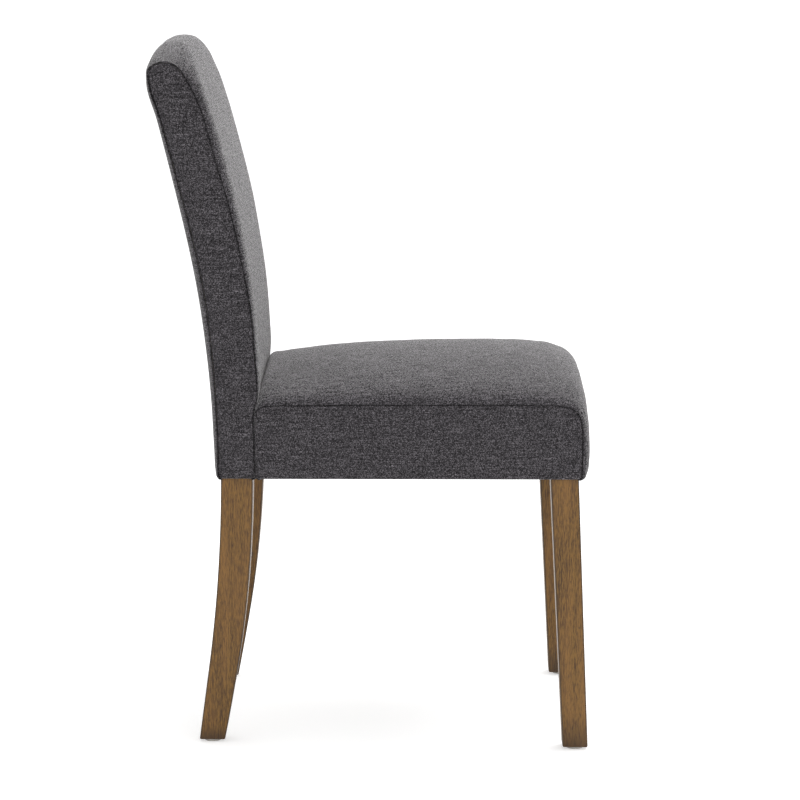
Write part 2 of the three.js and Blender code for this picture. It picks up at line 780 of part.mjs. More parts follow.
const strapFrom = legHeight + lowRailTop - strapLap;
const strapTo = legHeight + topRailTop - strapEndInset;

// Points up the front of the frame along the straps, moved forward by a distance.
function strapLine(forward) {
  return sectionsBetween(strapFrom, strapTo).map((z) => [woodFrontAt(z) - forward, z]);
}

function backRail(bottom, top) {
  const heights = sectionsBetween(legHeight + bottom, legHeight + top);
  const front = heights.map((z) => [woodFrontAt(z), z]);
  const rear = heights.map((z) => [woodFrontAt(z) + backRailThickness, z]).reverse();
  const end = rearLegOuter - stileTopWidth + railBite;
  const strapSpace = prism("x", [...strapLine(0), [-far, strapTo], [-far, strapFrom]], -far, far);
  return prism("x", [...front, ...rear], -end, end).subtract(bothRearLegs).subtract(strapSpace);
}

function backStrap(x) {
  const outline = [...strapLine(gap + strapThickness), ...strapLine(gap).reverse()];
  return prism("x", outline, x - strapWidth / 2, x + strapWidth / 2);
}

const backBody = (inset) => paddedBody(backRows, backHalfWidth, backStationShares, inset);
const backSoft = backBody(softInset);
const backFoamStart = legHeight + stileThinningStart;
const stileTop = legHeight + stileHeight;

// The space that the frame fills: full to the front where the seat meets it, and behind the straps above.
function backFrameSpace() {
  const behind = sectionsBetween(legHeight - overrun, stileTop + gap).map((z) => [woodRearAt(z) + gap, z]);
  const strapFront = (z) => woodFrontAt(z) - 2 * gap - strapThickness;
  const before = sectionsBetween(backFoamStart, stileTop + gap).map((z) => [strapFront(z), z]);
  const outline = [[-far, legHeight - overrun], ...behind, ...before.reverse(), [-far, backFoamStart]];
  return prism("x", outline, -rearLegOuter - gap, rearLegOuter + gap);
}

// Everything behind the line that parts the front pad from the rear pad.
function behindFrame(shift) {
  const heights = sectionsBetween(legHeight - overrun, legHeight + backHeight + overrun);
  const line = heights.map((z) => [woodRearAt(z) + gap + shift, z]);
  const outline = [[far, heights[0]], [far, heights.at(-1)], ...line.reverse()];
  return prism("x", outline, -far, far);
}

const backPads = backSoft.subtract(backFrameSpace());

function backCover() {
  const inner = backHalfWidth() - coverTurnIn;
  const front = jointWood + coverTurnIn / 2;
  const rear = woodRearAt(legHeight) - coverTurnIn / 2;
  const opening = box([-inner, front, legHeight - overrun], [inner, rear, legHeight + overrun]);
  const panels = [-1, 1].map((side) => sidePanel(backRows, backHalfWidth, side, gap, overrun));
  const cutters = [backBody(coverWall), opening, ...panels, bothRearLegs];
  cutters.push(...boltPlaces.map(({ point }) => boltClearance(point).transform(seatFrame.elements)));
  return cutters.reduce((cover, cutter) => cover.subtract(cutter), backBody(0));
}

// Legs with their holes, and glides

const downwards = new THREE.Vector3(0, 0, -1);

function rearFootMiddle(side) {
  const x = side * (rearLegOuter - rearLegFootWidth / 2);
  return new THREE.Vector3(x, (woodFrontAt(footHeight) + woodRearAt(footHeight)) / 2, glideHeight);
}

function frontFootMiddle(side) {
  const y = frameFront - frontLegRake + frontLegFoot / 2;
  const x = side * (seatRailSide(frameFront + frontLegFoot / 2) - frontLegFoot / 2);
  return new THREE.Vector3(x, y, glideHeight);
}

function nailHole(point) {
  return rod(glideNailDiameter / 2 + gap, -glideNailLength - gap, overrun, point, downwards, boltSides);
}

function glide(point) {
  const radius = glideDiameter / 2;
  const nail = glideNailDiameter / 2;
  const profile = [
    [0, -glideNailLength],
    [nail, -glideNailLength],
    [nail, 0],
    [radius, 0],
    [radius, glideHeight - glideEdge],
    [radius - glideEdge, glideHeight],
    [0, glideHeight],
  ];
  return turned(profile, point, downwards, headSides);
}

function rearLeg(side) {
  const holes = boltPlaces.filter((place) => place.side === side).map(({ point }) => insertHole(point));
  const drilled = holes.reduce(
    (leg, hole) => leg.subtract(hole.transform(seatFrame.elements)),
    rearLegBlank(side, 0),
  );
  return drilled.subtract(nailHole(rearFootMiddle(side)));
}

function frontLeg(side) {
  const toSeat = seatFrame.clone().invert().elements;
  const bore = hangerRod(side, hangerDiameter / 2 + gap, -hangerBite - gap, overrun);
  return frontLegBlank(side, 0).subtract(bore).subtract(nailHole(frontFootMiddle(side)).transform(toSeat));
}

// Assembly

const chair = new THREE.Group();
const backUnit = new THREE.Group();
const seatUnit = new THREE.Group();
seatUnit.position.z = legHeight;
seatUnit.rotation.x = -seatTilt;
chair.add(backUnit, seatUnit);

function place(group, name, solid, finish) {
  const mesh = new THREE.Mesh(geometryOf(solid), finish);
  mesh.name = name;
  group.add(mesh);
}

for (const [word, side] of [["right", -1], ["left", 1]]) {
  place(backUnit, "rear_leg_" + word, rearLeg(side), finishes.wood);
  place(backUnit, "rear_glide_" + word, glide(rearFootMiddle(side)), finishes.glide);
  place(chair, "front_glide_" + word, glide(frontFootMiddle(side)), finishes.glide);
  place(seatUnit, "front_leg_" + word, frontLeg(side), finishes.wood);
  place(seatUnit, "seat_rail_" + word, seatSideRail(side, 0), finishes.innerWood);
  place(seatUnit, "front_corner_block_" + word, frontCornerBlock(side), finishes.innerWood);
  place(seatUnit, "rear_corner_block_" + word, rearCornerBlock(side), finishes.innerWood);
  place(seatUnit, "seat_side_padding_" + word, seatSidePadding(side), finishes.foam);
  const seatPanel = sidePanel(seatRows, seatHalfWidth, side, 0, 0);
  place(seatUnit, "seat_side_cover_" + word, seatPanel, finishes.fabric);
  const backPanel = sidePanel(backRows, backHalfWidth, side, 0, 0);
  place(backUnit, "back_side_cover_" + word, backPanel, finishes.fabric);
  const hanger = hangerRod(side, hangerDiameter / 2, -hangerBite, hangerNutEnd + hangerEnd);
  place(seatUnit, "hanger_bolt_" + word, hanger, finishes.steel);
  place(seatUnit, "hanger_washer_" + word, hangerWasher(side), finishes.steel);
  place(seatUnit, "hanger_nut_" + word, hangerNut(side), finishes.steel);
}

place(seatUnit, "seat_rail_front", frontRail(0).subtract(bothFrontLegs), finishes.innerWood);
const rearRailHoles = boltPlaces.map(({ point }) => boltClearance(point));
const drilledRearRail = rearRailHoles.reduce((rail, hole) => rail.subtract(hole), rearRail(0));
place(seatUnit, "seat_rail_rear", drilledRearRail, finishes.innerWood);
spreadPlaces(seatStrapCount, strapPitch).forEach((x, i) => {
  place(seatUnit, "seat_strap_long_" + (i + 1), longStrap(x), finishes.webbing);
});
for (let row = 0; row < crossStrapCount; row++) {
  place(seatUnit, "seat_strap_cross_" + (row + 1), crossStrap(row), finishes.webbing);
}
place(seatUnit, "seat_foam", seatFoam, finishes.foam);
place(seatUnit, "seat_front_padding", seatFrontPadding(), finishes.foam);
place(seatUnit, "seat_cover", seatCover(), finishes.fabric);
place(seatUnit, "dust_cover", dustCover(), finishes.dustCloth);

place(backUnit, "back_rail_low", backRail(lowRailBottom, lowRailTop), finishes.innerWood);
place(backUnit, "back_rail_middle", backRail(middleRailBottom, middleRailTop), finishes.innerWood);
place(backUnit, "back_rail_top", backRail(topRailBottom, topRailTop), finishes.innerWood);
spreadPlaces(backStrapCount, strapPitch).forEach((x, i) => {
  place(backUnit, "back_strap_" + (i + 1), backStrap(x), finishes.webbing);
});
place(backUnit, "back_foam_front", backPads.subtract(behindFrame(-gap)), finishes.foam);
place(backUnit, "back_foam_rear", backPads.intersect(behindFrame(0)), finishes.foam);
place(backUnit, "back_cover", backCover(), finishes.fabric);

for (const { name, point } of boltPlaces) {
  place(seatUnit, "seat_bolt_" + name, seatBolt(point), finishes.steel);
  place(seatUnit, "seat_bolt_washer_" + name, seatWasher(point), finishes.steel);
  place(seatUnit, "insert_nut_" + name, insertNut(point), finishes.steel);
}

// The chair stands with the middle of its footprint at the origin.
chair.updateMatrixWorld(true);
const bounds = new THREE.Box3().setFromObject(chair, true);
const middle = bounds.getCenter(new THREE.Vector3());
chair.position.set(-middle.x, -middle.y, -bounds.min.z);

export default chair;
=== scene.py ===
"""Upholstered parsons chair in metres: covers, pads, legs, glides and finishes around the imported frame.

The chair faces -Y, and -X is its right side. It stands on z = 0.
"""
import math
from collections import namedtuple

import bmesh
import bpy
import numpy as np
from mathutils import Matrix, Vector, geometry, noise


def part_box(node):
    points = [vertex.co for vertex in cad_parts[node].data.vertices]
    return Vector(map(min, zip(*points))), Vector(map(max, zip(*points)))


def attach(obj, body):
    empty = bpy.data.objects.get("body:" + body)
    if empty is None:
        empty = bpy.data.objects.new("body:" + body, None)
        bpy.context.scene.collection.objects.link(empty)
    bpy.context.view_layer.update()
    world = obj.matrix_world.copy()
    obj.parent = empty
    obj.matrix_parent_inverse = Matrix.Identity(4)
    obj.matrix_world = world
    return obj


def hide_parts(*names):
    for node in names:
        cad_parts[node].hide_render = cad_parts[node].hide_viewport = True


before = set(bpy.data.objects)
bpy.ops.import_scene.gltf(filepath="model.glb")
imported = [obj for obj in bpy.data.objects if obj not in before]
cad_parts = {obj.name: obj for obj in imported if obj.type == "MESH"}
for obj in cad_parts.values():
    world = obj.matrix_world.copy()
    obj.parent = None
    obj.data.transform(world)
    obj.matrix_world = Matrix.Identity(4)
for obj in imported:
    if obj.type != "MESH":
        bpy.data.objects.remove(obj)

bl_info = {
    "name": "Parsons Chair",
    "version": (1, 0, 0),
    "blender": (4, 5, 0),
    "location": "View3D > Sidebar > Chair",
    "description": "Covers, pads, legs and finishes of an upholstered dining chair",
    "category": "Object",
}

SIDES = (("right", -1), ("left", 1))
mm = 0.001

# Sizes of the chair that the frame's solids share

gap = 0.3 * mm
leg_height = 379 * mm
seat_tilt = math.radians(0.95)
cover_wall = 2 * mm
edge_round = 25 * mm
seat_depth = 441 * mm
seat_front_width = 468.8 * mm
seat_rear_width = 411.3 * mm
seat_side_height = 104 * mm
seat_mid_height = 156 * mm
back_width = 406 * mm
back_thickness = 60 * mm
back_height = 598 * mm
back_lean = 107.5 * mm
rear_leg_inset = 6.6 * mm
rear_leg_foot = (33 * mm, 35.8 * mm)
rear_leg_top = (43 * mm, 44.4 * mm)
rear_leg_sweep = 31.2 * mm
stile_top_width = 36 * mm
stile_depths = (50 * mm, 28 * mm)
stile_height = back_height - 58 * mm
stile_thinning = (70 * mm, 190 * mm)
front_leg_foot = 35.3 * mm
front_leg_top = 39.2 * mm
front_leg_reach = 1.8 * mm
front_leg_rake = 18 * mm
seat_rail_inset = 6.6 * mm
seat_rail_height = 66 * mm
glide_height = 3.5 * mm
leg_taper_power = 2.7
sweep_slope = 0.13
back_crown_share = 0.2
back_softness = 0.8
back_pull = 0.16
ellipse_corner = 2
square_corner = 3
ellipse_share = 0.3

foot_height = glide_height + gap
joint_wood = cover_wall + 3 * gap
shoulder = (leg_height + cover_wall + gap, leg_height + cover_wall + 2 * gap)
seat_rail_top = cover_wall + gap + seat_rail_height
joint_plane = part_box("rear_leg_right")[0].y - joint_wood
rear_leg_outer = back_width / 2 - rear_leg_inset
frame_front = -(seat_depth + front_leg_reach)
seat_place = Matrix.Translation((0, joint_plane, leg_height)) @ Matrix.Rotation(-seat_tilt, 4, "X")
back_place = Matrix.Translation((0, joint_plane, 0))

# How the back leans: height share up the back, lean share
lean_shares = (
    (0, 0), (0.114, 0.011), (0.278, 0.072), (0.464, 0.207), (0.648, 0.445), (0.831, 0.716), (1, 1),
)

# Seat outline, from the rear's bottom edge up, over the top and down the front: the side seam's depth and
# height share, the middle's depth and height share, and how far in from the seam the rise spreads
seat_shares = (
    (0.009, 0, 0, 0, 0),
    (0.01, 0.3, 0, 0.29, 0),
    (0.009, 0.72, 0, 0.61, 0),
    (0.003, 0.915, -0.008, 0.765, 0.4),
    (-0.013, 0.972, -0.021, 0.834, 0.8),
    (-0.05, 0.988, -0.056, 0.868, 1),
    (-0.136, 0.995, -0.14, 0.913, 1),
    (-0.29, 1, -0.29, 0.956, 1),
    (-0.454, 1, -0.454, 0.977, 1),
    (-0.612, 1, -0.617, 0.982, 1),
    (-0.757, 1, -0.775, 0.974, 1),
    (-0.882, 0.996, -0.898, 0.944, 1),
    (-0.95, 0.982, -0.972, 0.89, 1),
    (-0.985, 0.94, -1.0175, 0.811, 1),
    (-1.004, 0.85, -1.0295, 0.696, 0.55),
    (-1.012, 0.7, -1.0315, 0.556, 0.15),
    (-1.0135, 0.481, -1.034, 0.359, 0),
    (-1.0125, 0.212, -1.0335, 0.167, 0),
    (-1.011, 0.058, -1.0285, 0.058, 0),
    (-1.008, 0, -1.0205, 0, 0),
)

# Back outline, from the rear's bottom edge up, over the top and down the front to the joint: the side seam's
# height and thickness share, the middle's height and thickness share, and the spread
back_shares = (
    (0, 0.9, 0, 0.98, 0),
    (0.012, 0.91, 0.015, 0.995, 0),
    (0.069, 0.917, 0.069, 1.02, 0),
    (0.17, 0.916, 0.17, 1.035, 0),
    (0.279, 0.914, 0.278, 1.06, 0),
    (0.417, 0.913, 0.417, 1.085, 0),
    (0.557, 0.913, 0.556, 1.08, 0),
    (0.695, 0.917, 0.694, 1.055, 0),
    (0.831, 0.918, 0.831, 1.03, 0),
    (0.917, 0.92, 0.914, 1, 0),
    (0.942, 0.85, 0.947, 0.887, 0.1),
    (0.953, 0.705, 0.973, 0.72, 0.35),
    (0.959, 0.51, 0.9925, 0.49, 0.55),
    (0.958, 0.345, 0.9985, 0.23, 0.6),
    (0.951, 0.225, 0.9945, 0, 0.5),
    (0.94, 0.145, 0.982, -0.105, 0.35),
    (0.926, 0.085, 0.96, -0.185, 0.2),
    (0.902, 0.022, 0.929, -0.22, 0.07),
    (0.875, -0.03, 0.896, -0.25, 0),
    (0.832, -0.055, 0.838, -0.27, 0),
    (0.741, -0.055, 0.739, -0.28, 0),
    (0.649, -0.09, 0.648, -0.27, 0),
    (0.509, -0.07, 0.511, -0.195, 0),
    (0.373, -0.075, 0.374, -0.145, 0),
    (0.28, -0.045, 0.281, -0.11, 0),
    (0.203, -0.035, 0.236, -0.08, 0),
)

# The stretch of the back outline that the seat covers, whose thickness shares start from the joint plane
joint_shares = (
    (0.179, 0.03, 0.207, -0.01, 0),
    (0.158, 0.085, 0.18, 0, 0),
    (0.085, 0.1, 0.085, 0, 0),
    (0.012, 0.1, 0.012, 0, 0),
    (0, 0.11, 0, 0.012, 0),
)

# Sizes of the detail that only this model has

merge_reach = 0.01 * mm
tiny = 1e-12
yarn_pitch = 0.95
section_points = 500
fine_step = 0.5 * mm
fold_radius = 3 * mm
fold_turns = (22.5, 45, 67.5, 90)
fold_lap = 1.2 * mm
fold_rows = len(fold_turns) + 3
seam_reach = 0.1 * mm
pucker_size = (7 * mm, 18 * mm)
pucker_reach = 6 * mm
pucker_shift = 3
fine_pucker_share = 0.6
fine_pucker_scale = 2.1
wave_size = 70 * mm
edge_fade = 12 * mm
panel_edge_fade = 9 * mm
panel_low_fade = 10 * mm
panel_row_share = 0.87
panel_clearance_share = 0.6
calm_rows = 8
seat_calm_share = 0.7
back_calm_share = 0.2
facing = 0.9
cover_smooth = 60
cloth_frames = 20
cloth_settings = dict(
    quality=6, mass=0.3, tension_stiffness=25, compression_stiffness=25, shear_stiffness=8, bending_stiffness=1.5,
    use_pressure=True, uniform_pressure_force=4, vertex_group_mass="held",
)
rear_leg_steps = 17
stile_steps = 25
front_leg_steps = 9
square_normal = 0.97
bore_sides = 24
bore_overrun = 1 * mm
nail_hole_radius = 1.8 * mm
nail_hole_depth = 15.6 * mm
insert_hole_middle = 8 * mm
insert_hole_depth = 36 * mm
hanger_hole_radius = 4.4 * mm
glide_sides = 48
glide_edge = 0.7 * mm
glide_hollow = 5 * mm
glide_hollow_wall = 0.6 * mm
glide_hollow_depth = 1.2 * mm
nail_radius = 1.5 * mm
nail_point = 3 * mm
nail_point_share = 0.15
strap_edge = 0.5 * mm
dust_step = 8 * mm
dust_sag = 5 * mm
dust_sag_reach = 70 * mm
dust_wave = 0.7 * mm
dust_wave_size = 32 * mm
dust_wave_reach = 14 * mm
dust_wall = 0.5 * mm
camera_place = (-4.4312, joint_plane - 0.1953, 1.1965)
camera_pitch = math.radians(9.468)
camera_roll = math.radians(0.333)
camera_lens = 139.76
camera_sensor = 36
camera_reach = 200
floor_size = 120
lamp_target = (0, 0, 0.5)
key_place, key_size = (0.8, -0.95, 3.45), 2.4
fill_place, fill_size = (-3.6, -0.6, 1.8), 1.8

# Half width of the dark line of painted shade along a seam
seam_line = 0.5 * mm

# Distances from the seam at which the columns of a wrap stand, where its edge rounds over
edge_columns = np.array([0, 0.5, 1, 1.6, 2.3, 3.2, 4.4, 6, 8, 10.5, 13.5, 17, 21, 25.5, 30]) * mm
panel_columns = edge_columns[1:9]

# Where the back's cover is pulled out past a rear leg: beside it, on its inner side, above the cover's lower
# edge and behind, and the gap that it leaves
clear_beside, clear_inside, clear_above, clear_behind, clear_gap = np.array([1.5, 46, 14, 20, 2.2]) * mm

# Solids of the pads, the pieces that show them, the size of their mesh in mm and how often it is smoothed
pads = (
    ("seat_foam", "seat_foam_pad", 5, 6),
    ("seat_front_padding", "seat_front_pad", 2.5, 2),
    ("back_foam_front", "back_front_pad", 3, 2),
    ("back_foam_rear", "back_rear_pad", 3, 2),
    *(("seat_side_padding_" + word, "seat_side_pad_" + word, 2.5, 2) for word, _ in SIDES),
)

# Straps by name, how many there are, and the rails that hold them
seat_lengthwise = ("seat_rail_front", "seat_rail_rear")
seat_crosswise = ("seat_rail_right", "seat_rail_left")
straps = (
    ("seat_strap_long_", 3, seat_lengthwise),
    ("seat_strap_cross_", 4, seat_crosswise),
    ("back_strap_", 3, ("back_rail_low", "back_rail_top")),
)


# Sizes and colours that a user would change


def length(name, words, default):
    return bpy.props.FloatProperty(name=name, description=words, default=default, unit="LENGTH", precision=5)


def share(name, words, default, most=1.0):
    return bpy.props.FloatProperty(name=name, description=words, default=default, min=0, max=most)


def colour(name, words, default):
    return bpy.props.FloatVectorProperty(
        name=name, description=words, default=default, size=3, min=0, max=1, subtype="COLOR"
    )


class ChairCoverSettings(bpy.types.PropertyGroup):
    wall: length("Wall", "Thickness of the fabric with its backing", 1.6 * mm)
    step: length("Mesh step", "Distance between rows of the covers", 2.5 * mm)
    panel_step: length("Panel mesh step", "Distance between the lines of a side panel", 3 * mm)
    groove: length("Seam depth", "How deep the seams sink in", 0.8 * mm)
    groove_width: length("Seam width", "Half width of the sunk line", 0.4 * mm)
    pucker: length("Pucker", "Height of the puckers along a seam", 0.3 * mm)
    wrap_swell: length("Wrap swell", "How far the filling pushes the wraps out", 1.4 * mm)
    panel_swell: length("Panel swell", "How far the filling pushes the side panels out", 3.2 * mm)
    unevenness: length("Unevenness", "Height of the slow waves in the pulled fabric", 0.5 * mm)
    yarn: colour("Yarn", "Colour of the main yarn", (0.0625, 0.058, 0.063))
    sheen: share("Sheen", "Weight of the fibre sheen", 0.68)


class ChairWoodSettings(bpy.types.PropertyGroup):
    edge: length("Edge radius", "Radius of the legs' long edges", 2.4 * mm)
    light: colour("Light grain", "Stain between the dark lines of the grain", (0.222, 0.114, 0.024))
    dark: colour("Dark grain", "Stain in the dark lines of the grain", (0.068, 0.031, 0.007))
    coat: share("Lacquer", "Weight of the satin lacquer", 0.25)


class ChairStageSettings(bpy.types.PropertyGroup):
    world: share("World light", "Strength of the even light", 0.75, 5)
    key: share("Key light", "Power of the lamp above the chair's front, in watts", 80, 5000)
    fill: share("Fill light", "Power of the lamp beside the camera, in watts", 15, 5000)
    floor: colour("Floor", "Colour of the floor", (0.8, 0.8, 0.8))
    glow: share("Floor glow", "How much white the floor shows where no light falls", 0.52)


# Small tools


def alone():
    """Leaves object mode with nothing selected."""
    if bpy.context.mode != "OBJECT":
        bpy.ops.object.mode_set(mode="OBJECT")
    bpy.ops.object.select_all(action="DESELECT")


def pick(piece):
    alone()
    piece.select_set(True)
    bpy.context.view_layer.objects.active = piece


def linked(name, data):
    """A new object in the scene."""
    made = bpy.data.objects.new(name, data)
    bpy.context.scene.collection.objects.link(made)
    return made


def new_piece(name, points, faces):
    mesh = bpy.data.meshes.new(name)
    mesh.from_pydata([tuple(p) for p in points], [], [tuple(int(i) for i in f) for f in faces])
    mesh.validate()
    return linked(name, mesh)


def named_primitive(name):
    """Names the primitive that was just added, and makes its own place and size final."""
    piece = bpy.context.active_object
    piece.name = piece.data.name = name
    at_origin(piece)
    return piece


def at_origin(piece):
    pick(piece)
    bpy.ops.object.transform_apply(location=True, rotation=True, scale=True)


def modify(piece, kind, **settings):
    """Adds a modifier with these settings and applies it."""
    pick(piece)
    modifier = piece.modifiers.new(kind.title(), kind)
    for name, value in settings.items():
        setattr(modifier, name, value)
    bpy.ops.object.modifier_apply(modifier=modifier.name)


def bevel(piece, width, segments, degrees):
    """Rounds the edges that are sharper than an angle."""
    angle = math.radians(degrees)
    modify(piece, "BEVEL", width=width, segments=segments, limit_method="ANGLE", angle_limit=angle)


def smooth(piece, degrees):
    pick(piece)
    bpy.ops.object.shade_smooth_by_angle(angle=math.radians(degrees))


def delete(piece):
    mesh = piece.data
    bpy.data.objects.remove(piece)
    bpy.data.meshes.remove(mesh)


def edit(piece):
    """Starts edit mode on a piece, with faces to be selected."""
    pick(piece)
    bpy.ops.object.mode_set(mode="EDIT")
    bpy.ops.mesh.select_mode(type="FACE")


def select_faces(piece, test):
    """Selects the faces that pass a test, in edit mode."""
    mesh = bmesh.from_edit_mesh(piece.data)
    for face in mesh.faces:
        face.select = test(face)
    bmesh.update_edit_mesh(piece.data)


def dress(piece, maker):
    """Gives a piece a finish, which is made once."""
    piece.data.materials.clear()
    piece.data.materials.append(bpy.data.materials.get(maker.__name__) or maker())


def finish_piece(piece, maker, node):
    """Dresses a piece, and lets it ride with the chair and stand for its solid."""
    dress(piece, maker)
    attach(piece, "root")
    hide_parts(node)


def node_copy(node, name):
    """A loose copy of a solid, with its shared points merged."""
    piece = linked(name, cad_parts[node].data.copy())
    piece.data.name = name
    edit(piece)
    bpy.ops.mesh.select_all(action="SELECT")
    bpy.ops.mesh.remove_doubles(threshold=merge_reach)
    bpy.ops.mesh.customdata_custom_splitnormals_clear()
    bpy.ops.object.mode_set(mode="OBJECT")
    return piece


def middle_of(node):
    low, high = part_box(node)
    return (low + high) / 2


def read_points(mesh, field="co"):
    flat = np.empty(len(mesh.vertices) * 3, np.float32)
    mesh.vertices.foreach_get(field, flat)
    return flat.reshape(-1, 3).astype(float)


def flat_uv(piece, uv):
    """Writes a UV map, in metres of cloth, from one pair for each vertex."""
    corners = np.empty(len(piece.data.loops), np.int32)
    piece.data.loops.foreach_get("vertex_index", corners)
    layer = piece.data.uv_layers.new(name="cloth")
    layer.data.foreach_set("uv", np.asarray(uv, np.float32)[corners].ravel())


def vertex_value(piece, name, values):
    attribute = piece.data.attributes.new(name, "FLOAT", "POINT")
    attribute.data.foreach_set("value", np.asarray(values, np.float32))


def placed(points, place):
    matrix = np.array(place)
    return points @ matrix[:3, :3].T + matrix[:3, 3]


def ripple(values, seed):
    """Even noise from -1 to 1 at each row of values."""
    return np.array([noise.noise(Vector((*value, seed))) for value in values])


def ramp(value, width):
    """0 up to a value of 0, and 1 from a value of this width."""
    return np.clip(value / width, 0, 1)


def faded(distance, reach):
    """0 at no distance, and nearly 1 at a few times the reach."""
    return 1 - np.exp(-distance / reach)


def arc_length(line):
    """How far along a line each of its points lies."""
    return np.concatenate([[0], np.cumsum(np.linalg.norm(np.diff(line, axis=0), axis=1))])


# Shader tools


class Wire:
    """One output of a node. Arithmetic on it adds Math nodes."""

    def __init__(self, finish, socket):
        self.finish = finish
        self.socket = socket

    def math(self, operation, *others, **settings):
        return self.finish.math(operation, self, *others, **settings)

    def __add__(self, other):
        return self.math("ADD", other)

    def __sub__(self, other):
        return self.math("SUBTRACT", other)

    def __rsub__(self, other):
        return self.finish.math("SUBTRACT", other, self)

    def __mul__(self, other):
        return self.math("MULTIPLY", other)

    def __truediv__(self, other):
        return self.math("DIVIDE", other)

    def __pow__(self, other):
        return self.math("POWER", other)

    def __rpow__(self, other):
        return self.finish.math("POWER", other, self)

    __radd__ = __add__
    __rmul__ = __mul__

    def clamped(self):
        return self.math("ADD", 0, use_clamp=True)

    def above(self, edge, soft):
        """0 below an edge and 1 above it, with a soft step."""
        return ((self - edge) / soft + 0.5).clamped()


class Finish:
    """A material or a world that is built node by node. Sizes of its patterns are in millimetres."""

    def __init__(self, name, world=False):
        self.block = (bpy.data.worlds if world else bpy.data.materials).new(name)
        self.block.use_nodes = True
        self.tree = self.block.node_tree
        self.tree.nodes.clear()

    def node(self, kind, inputs=None, **settings):
        """Adds a node, sets its settings, fills its sockets with values or wires, and gives its outputs."""
        made = self.tree.nodes.new("ShaderNode" + kind)
        for name, value in settings.items():
            setattr(made, name, value)
        for key, value in (inputs or {}).items():
            named = (s for s in made.inputs if s.name == key and s.enabled)
            socket = made.inputs[key] if isinstance(key, int) else next(named)
            if isinstance(value, Wire):
                self.tree.links.new(value.socket, socket)
            else:
                socket.default_value = (*value, 1) if socket.type == "RGBA" else value
        return {s.name: Wire(self, s) for s in made.outputs if s.enabled}

    def math(self, operation, *values, **settings):
        return self.node("Math", dict(enumerate(values)), operation=operation, **settings)["Value"]

    def uv(self):
        return self.node("UVMap", uv_map="cloth")["UV"]

    def object_place(self):
        return self.node("TexCoord")["Object"]

    def part(self, vector, axis):
        return self.node("SeparateXYZ", {"Vector": vector})[axis]

    def attribute(self, name):
        return self.node("Attribute", attribute_name=name)["Fac"]

    def stretched(self, vector, sizes):
        scale = [1 / (size * mm) for size in sizes]
        return self.node("Mapping", {"Vector": vector, "Scale": scale}, vector_type="POINT")["Vector"]

    def speckle(self, vector, sizes, detail=2.0, roughness=0.5, distortion=0.0):
        """Noise from about 0 to 1, in grains of these sizes."""
        inputs = {"Vector": self.stretched(vector, sizes), "Scale": 1.0, "Detail": detail}
        inputs |= {"Roughness": roughness, "Distortion": distortion}
        return self.node("TexNoise", inputs, normalize=True)["Fac"]

    def cells(self, vector, sizes, uneven=1.0):
        """Cells of these sizes, from a grid to an uneven pattern: their colours and distances."""
        inputs = {"Vector": self.stretched(vector, sizes), "Scale": 1.0, "Randomness": uneven}
        return self.node("TexVoronoi", inputs, feature="F1")

    def wave(self, operation, vector, axis, size):
        """A sine or cosine along an axis, as long as this size."""
        return (self.part(vector, axis) * (2 * math.pi / (size * mm))).math(operation)

    def mixed(self, factor, first, second, blend="MIX"):
        inputs = {"Factor": factor, "A": first, "B": second}
        return self.node("Mix", inputs, data_type="RGBA", blend_type=blend, clamp_factor=True)["Result"]

    def grey(self, value):
        return self.node("CombineColor", dict.fromkeys(("Red", "Green", "Blue"), value), mode="RGB")["Color"]

    def bumped(self, height, distance, strength=1.0):
        return self.node("Bump", {"Height": height, "Distance": distance * mm, "Strength": strength})["Normal"]

    def principled(self, **sockets):
        """The Principled shader with these sockets, in whose names an underscore stands for a space."""
        return self.node("BsdfPrincipled", {k.replace("_", " "): v for k, v in sockets.items()})["BSDF"]

    def blend(self, factor, first, second):
        return self.node("MixShader", {0: factor, 1: first, 2: second})["Shader"]

    def seen(self):
        """1 for what the camera, a reflection or glass sees, and 0 for the light on the chair."""
        path = self.node("LightPath")
        return (path["Is Camera Ray"] + path["Is Glossy Ray"] + path["Is Transmission Ray"]).clamped()

    def output(self, shader, kind="OutputMaterial"):
        self.node(kind, {"Surface": shader})
        return self.block

    def surface(self, **sockets):
        return self.output(self.principled(**sockets))


# Finishes


